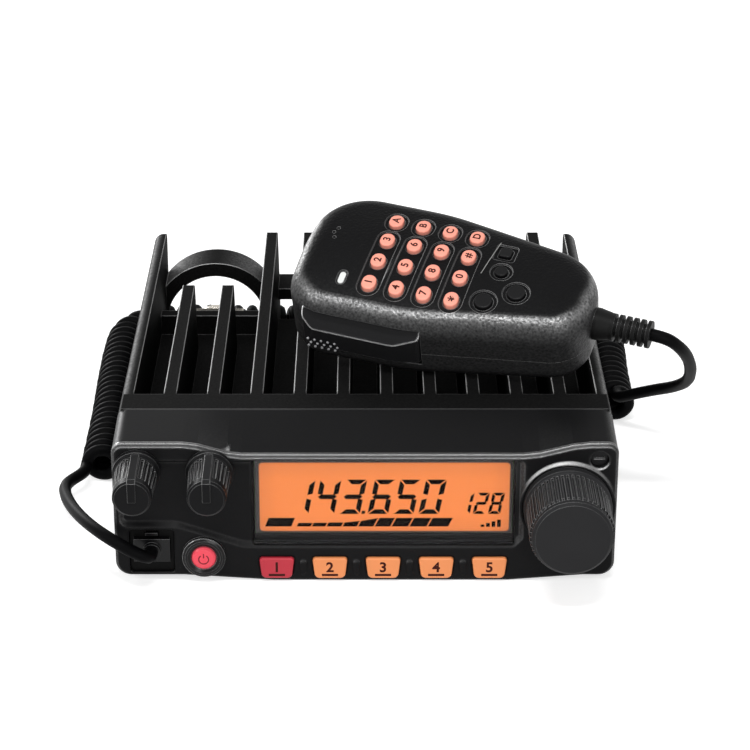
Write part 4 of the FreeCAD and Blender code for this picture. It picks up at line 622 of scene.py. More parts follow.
def all_finishes() -> dict[str, Finish]:
    """Every finish, by its name.

    Returns:
        The finishes that the sub-assemblies dress their pieces in.
    """
    amber = linear(241, 130, 52)
    kinds: list[Finish] = [
        # Strong edge lightening on the casting, panel, bezel and lever paints highlights on their
        # edges, on top of wear.
        Moulded("cast_black", linear(10, 10, 10), 0.66, grain=1200.0, depth=0.00009, wear_and_highlight=0.75,
                edge=0.0006, specular=0.02, bare=0.5, down=0.6, low=0.08, far=0.12,
                span=(-0.053, -0.0565), painted_bend_highlight=0.16, bend=Bend.CORNER),
        Moulded("sheet_black", linear(20, 20, 21), 0.55, wear_and_highlight=0.04, specular=0.1),
        Moulded("screw_black", linear(30, 30, 31), 0.35, metallic=0.6, wear_and_highlight=0.4, edge=0.0004),
        Moulded("panel_black", linear(16, 16, 17), 0.4, grain=1600.0, depth=0.00002,
                edge=0.0014, wear_and_highlight=0.65, specular=0.06, bare=0.6, polish=1.0, down=0.05,
                low=0.05, far=0.08, painted_bend_highlight=0.05, bend=Bend.CORNER),
        Moulded("zinc", linear(176, 176, 172), 0.32, metallic=1.0, cloud=0.1, wear_and_highlight=0.1),
        Moulded("bezel_black", linear(14, 14, 15), 0.2, depth=0.000004, specular=0.15, wear_and_highlight=0.6,
                edge=0.0006, bare=0.5, polish=1.0, down=0.5),
        Moulded("socket_black", linear(11, 11, 11), 0.5, surface=Surface.SHELTERED,
                specular=0.06),
        Moulded("plug_black", linear(12, 12, 13), 0.25, depth=0.000006, specular=0.2, wear_and_highlight=0.15,
                bare=0.2, polish=1.0),
        Moulded("package_black", linear(22, 22, 24), 0.6, surface=Surface.SHELTERED),
        Moulded("speaker_steel", linear(120, 120, 118), 0.4, metallic=0.9, cloud=0.15),
        Moulded("nickel", linear(205, 200, 190), 0.22, metallic=1.0, cloud=0.06, depth=0.000006),
        Moulded("rubber_black", linear(13, 13, 13), 0.5, grain=1800.0, depth=0.00001,
                edge=0.0003, specular=0.1, wear_and_highlight=0.12),
        Moulded("cord_black", linear(8, 8, 9), 0.5, grain=900.0, depth=0.000008,
                edge=0.0001, wear_and_highlight=0.0, specular=0.03, polish=0.0),
        Moulded("knob_black", linear(18, 18, 19), 0.4, grain=2600.0, depth=0.00001,
                edge=0.0003, wear_and_highlight=0.4, specular=0.06, bare=0.2, polish=0.3),
        Moulded("dial_black", linear(38, 38, 39), 0.5, grain=2600.0, depth=0.00001,
                edge=0.0003, wear_and_highlight=0.28, specular=0.06, bare=0.2, polish=0.2),
        Moulded("button_black", linear(17, 17, 18), 0.34, depth=0.00001, specular=0.12,
                wear_and_highlight=0.3, polish=1.0),
        Moulded("key_red", linear(178, 45, 59), 0.34, grain=2200.0, depth=0.000008, cloud=0.06,
                wear_and_highlight=0.12, specular=0.3, glow=0.05),
        Moulded("power_red", linear(218, 69, 84), 0.34, grain=2200.0, depth=0.000008, cloud=0.06,
                wear_and_highlight=0.12, specular=0.3, glow=0.3),
        Moulded("key_amber", linear(223, 139, 86), 0.36, grain=2200.0, depth=0.000008,
                cloud=0.05, wear_and_highlight=0.12, specular=0.3, glow=0.05),
        # The microphone's shoulders, like the rounded corners of the casting and panel above, get a
        # grainy painted highlight.
        Moulded("mic_black", linear(14, 14, 15), 0.34, grain=1100.0, depth=0.00025, edge=0.0004,
                wear_and_highlight=0.3, specular=0.05, polish=0.8, painted_bend_highlight=0.15),
        Moulded("lever_black", linear(30, 30, 31), 0.4, grain=1500.0, depth=0.00003,
                edge=0.0009, wear_and_highlight=1.6, specular=0.08, polish=1.0, bare=0.8, down=0.8),
        # The grip's dots are black; their light grey is a painted highlight.
        Moulded("grip_painted_highlight", linear(150, 150, 152), 0.35, wear_and_highlight=0.3, specular=0.4),
        Moulded("key_orange", linear(250, 160, 140), 0.42, grain=2200.0, depth=0.000008,
                cloud=0.05, wear_and_highlight=0.1, specular=0.3),
        Moulded("lens_clear", linear(226, 228, 226), 0.2, depth=0.000004, cloud=0.05,
                specular=0.5),
        Moulded("dark_ink", linear(60, 20, 14), 0.5, depth=0.000004, cloud=0.3, wear_and_highlight=0.0,
                specular=0.1),
        Moulded("figure_ink", linear(10, 6, 4), 0.6, depth=0.000002, cloud=0.3, wear_and_highlight=0.0,
                specular=0.02, polish=0.0),
        Moulded("white_ink", linear(150, 150, 148), 0.5, depth=0.000004, cloud=0.05, wear_and_highlight=0.0),
        Moulded("red_ink", linear(120, 18, 30), 0.5, depth=0.000004, cloud=0.1, wear_and_highlight=0.0),
        Clear("window_clear", (1.0, 1.0, 1.0), 0.02, ior=1.12),
        LitGlass("lcd_amber", amber, 0.5, strength=0.72, low=(-0.0338, 0.0164),
                 high=(0.0462, 0.0411)),
        PrintedBoard("board_green", linear(20, 70, 36), 0.35),
    ]
    return {finish.name: finish for finish in kinds}


# ---------------------------------------------------------------- meshes
def in_scene(name: str, data: bpy.types.ID) -> bpy.types.Object:
    """An object for some data, linked to the scene."""
    made = bpy.data.objects.new(name, data)
    bpy.context.scene.collection.objects.link(made)
    return made


def place_piece(name: str, mesh: bpy.types.Mesh, material: bpy.types.Material,
                body: str) -> bpy.types.Object:
    """Put a finished mesh in the scene, dressed and riding on its body.

    Args:
        name: Name of the piece.
        mesh: Its mesh, in the frame's own place.
        material: Its finish.
        body: The body that it moves with.

    Returns:
        The piece's object, at the origin.
    """
    mesh.name = name
    piece = in_scene(name, mesh)
    mesh.materials.clear()
    mesh.materials.append(material)
    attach(piece, body)
    log.info("%s: %d faces, rides on %s", name, len(mesh.polygons), body)
    return piece


def oblong(left: float, right: float, low: float, high: float) -> list[Flat]:
    """Corners of an upright oblong, anticlockwise."""
    return [(left, low), (right, low), (right, high), (left, high)]


def closed_slabs(outlines: list[list[Flat]], thickness: float) -> bpy.types.Mesh:
    """Thin closed slabs on the XY plane, one for each flat outline.

    Args:
        outlines: Corners of each slab in millimetres, anticlockwise.
        thickness: Height of the slabs along +Z in millimetres.

    Returns:
        One mesh with every slab, in metres.
    """
    build = bmesh.new()
    for outline in outlines:
        low = [build.verts.new((x * MM, y * MM, 0.0)) for x, y in outline]
        high = [build.verts.new((x * MM, y * MM, thickness * MM)) for x, y in outline]
        build.faces.new(list(reversed(low)))
        build.faces.new(high)
        count = len(outline)
        for i in range(count):
            j = (i + 1) % count
            build.faces.new((low[i], low[j], high[j], high[i]))
    bmesh.ops.recalc_face_normals(build, faces=build.faces)
    mesh = bpy.data.meshes.new("slabs")
    build.to_mesh(mesh)
    build.free()
    return mesh


def join_meshes(meshes: list[bpy.types.Mesh]) -> bpy.types.Mesh:
    """Several meshes as one."""
    build = bmesh.new()
    for mesh in meshes:
        build.from_mesh(mesh)
    joined = bpy.data.meshes.new("joined")
    build.to_mesh(joined)
    build.free()
    return joined


def lettering(text: str, size: float, thickness: float, bold: float = 0.0) -> bpy.types.Mesh:
    """A short text as a thin closed mesh in metres, centred on the XY plane.

    Args:
        text: What it says.
        size: Size of the letters in millimetres.
        thickness: Height of the letters along Z in millimetres.
        bold: How much the strokes are widened, in millimetres.

    Returns:
        The text's mesh.
    """
    curve = bpy.data.curves.new("lettering", "FONT")
    curve.body = text
    curve.size = size * MM
    curve.align_x = "CENTER"
    curve.align_y = "CENTER"
    curve.extrude = thickness * MM / 2
    curve.offset = bold * MM
    curve.resolution_u = 4
    carrier = bpy.data.objects.new("lettering", curve)
    mesh = bpy.data.meshes.new_from_object(carrier)
    bpy.data.objects.remove(carrier)
    bpy.data.curves.remove(curve)
    build = bmesh.new()
    build.from_mesh(mesh)
    bmesh.ops.remove_doubles(build, verts=build.verts, dist=1e-7)
    bmesh.ops.recalc_face_normals(build, faces=build.faces)
    build.to_mesh(mesh)
    build.free()
    return mesh


def facing_front(x: float, y: float, z: float) -> Matrix:
    """Place that turns the XY plane to face the front, with its origin at a point in mm."""
    turn = Matrix.Rotation(math.radians(90), 4, "X")
    return Matrix.Translation(spot(x, y, z)) @ turn


# ---------------------------------------------------------------- geometry nodes
class Repeater:
    """Geometry Nodes trees for what repeats, each with named inputs for its sizes."""

    def __init__(self) -> None:
        """Build the trees."""
        self.dots = self._dots()
        self.rings = self._rings()

    @staticmethod
    def _new(name: str, inputs: dict[str, tuple[str, float | int]]
             ) -> tuple[bpy.types.NodeTree, bpy.types.Node]:
        """Start a geometry tree with a geometry output and named inputs.

        Args:
            name: Name of the tree.
            inputs: Socket type and value of each input, by name.

        Returns:
            The tree and its input node.
        """
        tree = bpy.data.node_groups.new(name, "GeometryNodeTree")
        tree.interface.new_socket("Geometry", in_out="OUTPUT", socket_type="NodeSocketGeometry")
        for label, (kind, value) in inputs.items():
            socket = tree.interface.new_socket(label, in_out="INPUT", socket_type=kind)
            socket.default_value = value
        tree.interface.new_socket("Finish", in_out="INPUT", socket_type="NodeSocketMaterial")
        return tree, tree.nodes.new("NodeGroupInput")

    @staticmethod
    def _repeat(tree: bpy.types.NodeTree, points: bpy.types.NodeSocket,
                shape: bpy.types.NodeSocket, finish: bpy.types.NodeSocket) -> None:
        """End a tree: the shape on every point, realized and dressed.

        Args:
            tree: The tree.
            points: The points' socket.
            shape: The socket of what is repeated.
            finish: The socket of its material.
        """
        spread = add_node(tree, "GeometryNodeInstanceOnPoints", {
            "Points": points, "Instance": shape})
        real = add_node(tree, "GeometryNodeRealizeInstances", {
            "Geometry": spread.outputs["Instances"]})
        dress = add_node(tree, "GeometryNodeSetMaterial", {
            "Geometry": real.outputs["Geometry"], "Material": finish})
        add_node(tree, "NodeGroupOutput", {"Geometry": dress.outputs["Geometry"]})

    def _dots(self) -> bpy.types.NodeTree:
        """Rows of small round dots on a flat grid, every second row set off, such as a grip's."""
        tree, ins = self._new("grip_dots", {
            "Columns": ("NodeSocketInt", 6), "Rows": ("NodeSocketInt", 2),
            "Length": ("NodeSocketFloat", 0.01), "Height": ("NodeSocketFloat", 0.003),
            "Set Off": ("NodeSocketFloat", 0.001), "Dot Radius": ("NodeSocketFloat", 0.0005)})
        given = ins.outputs
        number = add_node(tree, "GeometryNodeInputIndex").outputs["Index"]
        odd = reckon(tree, "MODULO", reckon(tree, "MODULO", number, given["Rows"]), 2.0)
        step = add_node(tree, "ShaderNodeCombineXYZ", {
            "X": reckon(tree, "MULTIPLY", odd, given["Set Off"])})
        grid = add_node(tree, "GeometryNodeMeshGrid", {
            "Vertices X": given["Columns"], "Vertices Y": given["Rows"],
            "Size X": given["Length"], "Size Y": given["Height"]})
        shifted = add_node(tree, "GeometryNodeSetPosition", {
            "Geometry": grid.outputs["Mesh"], "Offset": step.outputs["Vector"]})
        ball = add_node(tree, "GeometryNodeMeshIcoSphere", {
            "Radius": given["Dot Radius"], "Subdivisions": 3})
        self._repeat(tree, shifted.outputs["Geometry"], ball.outputs["Mesh"], given["Finish"])
        return tree

    def _rings(self) -> bpy.types.NodeTree:
        """Equal rings one behind another along Z, such as a thread's crests."""
        tree, ins = self._new("thread_rings", {
            "Count": ("NodeSocketInt", 12), "Pitch": ("NodeSocketFloat", 0.001),
            "Ring Radius": ("NodeSocketFloat", 0.008),
            "Crest Radius": ("NodeSocketFloat", 0.0003)})
        given = ins.outputs
        step = add_node(tree, "ShaderNodeCombineXYZ", {"Z": given["Pitch"]})
        line = add_node(tree, "GeometryNodeMeshLine", {
            "Count": given["Count"], "Offset": step.outputs["Vector"]})
        ring = add_node(tree, "GeometryNodeCurvePrimitiveCircle", {
            "Radius": given["Ring Radius"], "Resolution": 64})
        crest = add_node(tree, "GeometryNodeCurvePrimitiveCircle", {
            "Radius": given["Crest Radius"], "Resolution": 8})
        sweep = add_node(tree, "GeometryNodeCurveToMesh", {
            "Curve": ring.outputs["Curve"], "Profile Curve": crest.outputs["Curve"]})
        self._repeat(tree, line.outputs["Mesh"], sweep.outputs["Mesh"], given["Finish"])
        return tree

    @staticmethod
    def run(tree: bpy.types.NodeTree, values: dict[str, float | int],
            material: bpy.types.Material) -> bpy.types.Mesh:
        """Run a tree once and take its result as a plain mesh.

        Args:
            tree: The geometry tree.
            values: Values of its inputs, by name.
            material: The finish that it sets.

        Returns:
            The result's own mesh.
        """
        carrier = in_scene("repeater", bpy.data.meshes.new("repeater"))
        modifier = carrier.modifiers.new("repeat", "NODES")
        modifier.node_group = tree
        for item in tree.interface.items_tree:
            if item.in_out == "INPUT" and item.name in values:
                modifier[item.identifier] = values[item.name]
            elif item.in_out == "INPUT" and item.name == "Finish":
                modifier[item.identifier] = material
        carrier.update_tag()
        bpy.context.view_layer.update()
        graph = bpy.context.evaluated_depsgraph_get()
        mesh = bpy.data.meshes.new_from_object(carrier.evaluated_get(graph))
        carrier.modifiers.clear()
        bpy.data.objects.remove(carrier)
        return mesh


# ---------------------------------------------------------------- sub-assemblies
@dataclass
class SubAssembly:
    """A group of pieces that is built and dressed together."""

    shelf: FinishShelf
    repeater: Repeater

    def dress(self, finish: str, *nodes: str) -> None:
        """Give CAD nodes a finish, in their objects' own material slots.

        Args:
            finish: Name of the finish.
            nodes: Names of the nodes.
        """
        material = self.shelf.get(finish)
        for name in nodes:
            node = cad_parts[name]
            if not node.data.materials:
                node.data.materials.append(material)
            for place in node.material_slots:
                place.link = "OBJECT"
                place.material = material
            log.info("%s: dressed in %s", name, finish)

    def build(self) -> None:
        """Build the pieces; each sub-assembly has its own."""
        raise NotImplementedError


@dataclass
class Case(SubAssembly):
    """Finned casting, bottom cover, what is inside, and the sockets at the back."""

    aerial_x: float = -56.6
    aerial_z: float = 18.7
    thread_start: float = 153.6
    thread_pitch: float = 1.06
    thread_crests: int = 12
    thread_radius: float = 7.80
    thread_crest: float = 0.28

    def build(self) -> None:
        """Dress the case's nodes and cut the aerial socket's thread."""
        self.dress("cast_black", "heat_sink_chassis")
        self.dress("sheet_black", "bottom_cover")
        self.dress("screw_black", "case_screws")
        self.dress("board_green", "main_board")
        self.dress("package_black", "power_transistors")
        self.dress("speaker_steel", "speaker")
        self.dress("nickel", "antenna_connector")
        self.dress("socket_black", "speaker_jack")
        self.dress("rubber_black", "power_grommet")
        rings = self.repeater.run(self.repeater.rings, {
            "Count": self.thread_crests, "Pitch": self.thread_pitch * MM,
            "Ring Radius": self.thread_radius * MM, "Crest Radius": self.thread_crest * MM,
        }, self.shelf.get("nickel"))
        turn = Matrix.Rotation(math.radians(-90), 4, "X")
        start = spot(self.aerial_x, self.thread_start, self.aerial_z)
        rings.transform(Matrix.Translation(start) @ turn)
        place_piece("aerial_thread", rings, self.shelf.get("nickel"), Body.RADIO.value)


@dataclass
class Display(SubAssembly):
    """Display window, its lit cell, and the figures in it; places in millimetres."""

    depth: float = 3.17
    thickness: float = 0.05
    slant: float = 0.2
    foot: float = 22.76
    large: tuple[tuple[str, float], ...] = (("1", -24.7), ("4", -16.5), ("3", -8.3), ("6", 0.75),
                                            ("5", 8.85), ("0", 17.0))
    large_size: Point = (6.6, 12.2, 1.6)
    small: tuple[tuple[str, float], ...] = (("1", 29.5), ("2", 34.35), ("8", 39.2))
    small_size: Point = (3.9, 7.55, 1.0)
    point: tuple[Flat, ...] = ((-1.15, 22.8), (-0.05, 22.8), (0.1, 23.85), (-1.0, 23.85))
    segments: dict[str, str] = field(default_factory=lambda: {
        "0": "abcdef", "1": "bc", "2": "abged", "3": "abgcd", "4": "fgbc", "5": "afgcd",
        "6": "afgedc", "8": "abcdefg",
    })

    def build(self) -> None:
        """Dress the window and cell, and lay the figures in front of the cell."""
        self.dress("window_clear", "display_window")
        self.dress("lcd_amber", "lcd_module")
        outlines = []
        for figures, size in ((self.large, self.large_size), (self.small, self.small_size)):
            for digit, x in figures:
                outlines += self.digit_outlines(digit, x, self.foot, *size)
        outlines += self.bar_outlines()
        outlines += self.signal_outlines()
        outlines.append(list(self.point))
        mesh = closed_slabs(outlines, self.thickness)
        mesh.transform(facing_front(0.0, self.depth, 0.0))
        place_piece("display_figures", mesh, self.shelf.get("figure_ink"), Body.RADIO.value)

    def digit_outlines(self, digit: str, x: float, z: float, width: float, height: float,
                       stroke: float) -> list[list[Flat]]:
        """Outlines of a seven-segment figure's bars, with mitred ends, leaning right.

        Args:
            digit: The figure.
            x: Left of its cell.
            z: Bottom of its cell.
            width: Width of its cell.
            height: Height of its cell.
            stroke: Width of a bar.

        Returns:
            One outline for each lit bar, in millimetres.
        """
        gap = stroke * 0.2
        half = height / 2
        reach = stroke / 2

        def level(y: float, outer: float) -> list[Flat]:
            """A lying bar; outer is 1 at the top, -1 at the bottom and 0 in the middle."""
            if outer == 0:
                return [(gap, y), (reach + gap, y - reach), (width - reach - gap, y - reach),
                        (width - gap, y), (width - reach - gap, y + reach), (reach + gap, y + reach)]
            inner = y - outer * stroke
            points = [(gap, y), (stroke + gap, inner), (width - stroke - gap, inner),
                      (width - gap, y)]
            return points if outer > 0 else list(reversed(points))

        def upright(left: bool, low: float, high: float, ends: tuple[float, float]) -> list[Flat]:
            """A standing bar at one side, its mitres chosen by which ends are outer ones."""
            outer_low, outer_high = ends
            edge = 0.0 if left else width
            inner = stroke if left else width - stroke
            points = [(edge, low + gap + (0 if outer_low else reach)),
                      (inner, low + gap + (stroke if outer_low else reach * 0.4)),
                      (inner, high - gap - (stroke if outer_high else reach * 0.4)),
                      (edge, high - gap - (0 if outer_high else reach))]
            return points if left else list(reversed(points))

        bars = {
            "a": level(height, 1), "d": level(0.0, -1), "g": level(half, 0),
            "f": upright(True, half, height, (0, 1)), "e": upright(True, 0.0, half, (1, 0)),
            "b": upright(False, half, height, (0, 1)), "c": upright(False, 0.0, half, (1, 0)),
        }
        return [[(x + px + pz * self.slant, z + pz) for px, pz in bars[name]]
                for name in self.segments[digit]]

    def bar_outlines(self) -> list[list[Flat]]:
        """Slanted blocks of the level meter under the figures, and the block beside it.

        Returns:
            The blocks' outlines in millimetres.
        """
        low = 18.24
        lean = 0.5
        rising = (3, 4)
        edges = (-21.9, -17.0, -12.3, -7.2, -2.2, 3.1, 8.5, 14.2, 20.1, 27.0)
        tops = (19.5, 19.55, 19.65, 20.2, 21.25, 21.3, 21.3, 21.3, 21.3)
        outlines = []
        for i, top in enumerate(tops):
            before = tops[i - 1] if i else top
            start = before if i in rising else top
            left, right = edges[i], edges[i + 1] - 0.45
            outlines.append([(left, low), (right, low), (right + lean * (top - low), top),
                             (left + lean * (start - low), start)])
        outlines.append([(-32.0, low), (-23.6, low), (-22.4, 21.3), (-30.8, 21.3)])
        return outlines

    def signal_outlines(self) -> list[list[Flat]]:
        """Four rising bars of a small reception mark, right of the meter."""
        left, width, pitch = 37.0, 1.2, 1.75
        foot, first, growth = 18.1, 18.9, 0.58
        return [oblong(left + i * pitch, left + width + i * pitch, foot, first + i * growth)
                for i in range(4)]


@dataclass
class Front(SubAssembly):
    """Front panel with its knobs, keys, sockets and the marks printed on them."""

    key_first_x: float = -28.3
    key_pitch: float = 17.05
    key_front: float = -1.1
    figure_z: float = 5.4
    figure_size: float = 4.9
    figure_bold: float = 0.14
    bar_z: float = 2.4
    bar_reach: float = 2.6
    bar_height: float = 0.8
    power_x: float = -51.6
    power_z: float = 9.0
    power_front: float = -2.2
    power_radii: Flat = (1.4, 1.75)
    power_bar: tuple[float, float, float, float] = (-0.17, 0.17, 0.5, 2.0)
    power_relief: float = 0.12

    def build(self) -> None:
        """Dress the front's nodes and print its marks."""
        self.dress("panel_black", "front_panel")
        self.dress("board_green", "control_board")
        self.dress("zinc", "volume_pot", "squelch_pot", "dial_encoder")
        self.dress("knob_black", "volume_knob", "squelch_knob")
        self.dress("dial_black", "tuning_dial")
        self.dress("bezel_black", "power_bezel")
        self.dress("power_red", "power_button")
        self.dress("key_red", "function_key_1")
        self.dress("key_amber", *[f"function_key_{i}" for i in range(2, 6)])
        self.dress("socket_black", "mic_jack")
        self.dress("plug_black", "mic_plug")
        self.key_marks()
        self.power_mark()

    def key_marks(self) -> None:
        """Print a figure and a bar under it on each function key."""
        for i in range(5):
            x = self.key_first_x + i * self.key_pitch
            mesh = lettering(str(i + 1), self.figure_size, INK, self.figure_bold)
            mesh.transform(facing_front(x, self.key_front, self.figure_z))
            bar = closed_slabs([oblong(-self.bar_reach, self.bar_reach, 0.0, self.bar_height)],
                               THIN_INK)
            bar.transform(facing_front(x, self.key_front, self.bar_z))
            place_piece(f"function_mark_{i + 1}", join_meshes([mesh, bar]),
                        self.shelf.get("dark_ink"), f"function_key_{i + 1}")

    def power_mark(self) -> None:
        """Print the power sign on the push button: a ring that is open at the top, and a bar."""
        inner, outer = self.power_radii
        start, sweep, steps = 125, 290, 28
        sign = []
        for i in range(steps):
            first, last = (math.radians(start + (sweep * k) / steps) for k in (i, i + 1))
            sign.append([(radius * math.cos(angle), radius * math.sin(angle))
                         for radius, angle in ((inner, first), (outer, first), (outer, last),
                                               (inner, last))])
        sign.append(oblong(*self.power_bar))
        mesh = closed_slabs(sign, self.power_relief)
        mesh.transform(facing_front(self.power_x, self.power_front, self.power_z))
        place_piece("power_mark", mesh, self.shelf.get("red_ink"), Body.POWER.value)


@dataclass
class HandMicrophone(SubAssembly):
    """Hand microphone: shells, keypad, lever, and the figures on its keys."""

    centre: Point = (19.35, 64.0, 86.0)
    yaw: float = -19.3
    pitch: float = 4.5
    roll: float = 25.7
    crown: float = 130.0
    key_pitch: float = 9.5
    key_rise: float = 1.0
    figure_size: float = 3.5
    figure_bold: float = 0.1
    star_size: float = 5.0
    star_drop: float = -1.05
    grip_middle: Point = (-27.4, -28.9, -19.4)
    line_ends: tuple[Flat, Flat] = ((22.5, 14.6), (20.3, -1.0))
    line_reach: float = 0.13
    rows: tuple[tuple[tuple[str, str], ...], ...] = (
        (("1", "1"), ("2", "2"), ("3", "3"), ("a", "A")),
        (("4", "4"), ("5", "5"), ("6", "6"), ("b", "B")),
        (("7", "7"), ("8", "8"), ("9", "9"), ("c", "C")),
        (("star", "*"), ("0", "0"), ("hash", "#"), ("d", "D")),
    )

    def build(self) -> None:
        """Dress the microphone's nodes and print its keys."""
        self.dress("mic_black", "mic_front_shell", "mic_back_shell")
        self.dress("screw_black", "mic_screws")
        self.dress("board_green", "mic_board")
        self.dress("rubber_black", "mic_strain_relief")
        self.dress("nickel", "mic_hanger_stud")
        self.dress("lever_black", "push_to_talk_lever")
        self.dress("lens_clear", "mic_status_lens")
        self.dress("button_black", "mic_slide_switch", *[f"program_key_{i}" for i in range(1, 5)])
        names = [name for row in self.rows for name, _ in row]
        self.dress("key_orange", *[f"keypad_key_{name}" for name in names])
        self.key_figures()
        self.grip()
        self.printed_line()

    @property
    def place(self) -> Matrix:
        """Placement of the microphone's own frame (u, v, w)."""
        turn = (Matrix.Rotation(math.radians(self.yaw), 4, "Z")
                @ Matrix.Rotation(math.radians(self.pitch), 4, "Y")
                @ Matrix.Rotation(math.radians(self.roll), 4, "X"))
        return Matrix.Translation(spot(*self.centre)) @ turn

    def on_crown(self, u: float, v: float, rise: float) -> Matrix:
        """Place on the crowned face, its X along +v, its Y towards the head.

        Args:
            u: Distance along the microphone in millimetres.
            v: Distance across it.
            rise: Height above the face.

        Returns:
            The place in the frame, with Z out of the face.
        """
        lean = math.asin(v / self.crown)
        height = self.crown + rise
        foot = Vector((u, height * math.sin(lean), height * math.cos(lean) - self.crown))
        turn = Matrix.Rotation(-lean, 4, "X") @ Matrix.Rotation(math.radians(90), 4, "Z")
        return self.place @ Matrix.Translation(foot * MM) @ turn

    def key_figures(self) -> None:
        """Print the figure or letter on every key of the keypad."""
        for i, row in enumerate(self.rows):
            for j, (name, sign) in enumerate(row):
                star = sign == "*"
                mesh = lettering(sign, self.star_size if star else self.figure_size, INK,
                                 self.figure_bold)
                drop = Matrix.Translation(Vector((0, self.star_drop * MM if star else 0, 0)))
                mesh.transform(self.on_crown((i - 1.5) * self.key_pitch, (j - 1.5) * self.key_pitch,
                                             self.key_rise) @ drop)
                place_piece(f"key_figure_{name}", mesh, self.shelf.get("dark_ink"),
                            f"keypad_key_{name}")

    def grip(self) -> None:
        """Raise the dots of the lever's grip."""
        # The dots' light grey finish is a painted highlight on black dots.
        mesh = self.repeater.run(self.repeater.dots, {
            "Columns": 5, "Rows": 3, "Length": 9.4 * MM, "Height": 3.4 * MM,
            "Set Off": 0.92 * MM, "Dot Radius": 0.46 * MM,
        }, self.shelf.get("grip_painted_highlight"))
        middle = Matrix.Translation(Vector(self.grip_middle) * MM)
        mesh.transform(self.place @ middle @ Matrix.Rotation(math.radians(90), 4, "X"))
        place_piece("lever_grip", mesh, self.shelf.get("grip_painted_highlight"), Body.LEVER.value)

    def printed_line(self) -> None:
        """Print the fine line beside the four black keys, in short pieces along the crown."""
        pieces = []
        start, end = (Vector(place) for place in self.line_ends)
        steps = 8
        for i in range(steps):
            near, far = (start.lerp(end, k / steps) for k in (i, i + 1))
            reach = (far - near).length / 2
            slab = closed_slabs([oblong(-reach, reach, -self.line_reach, self.line_reach)],
                                THIN_INK)
            middle = (near + far) / 2
            turn = math.atan2(far.x - near.x, near.y - far.y)
            slab.transform(self.on_crown(middle.x, middle.y, 0.0)
                           @ Matrix.Rotation(turn, 4, "Z"))
            pieces.append(slab)
        place_piece("printed_line", join_meshes(pieces), self.shelf.get("white_ink"),
                    Body.MICROPHONE.value)


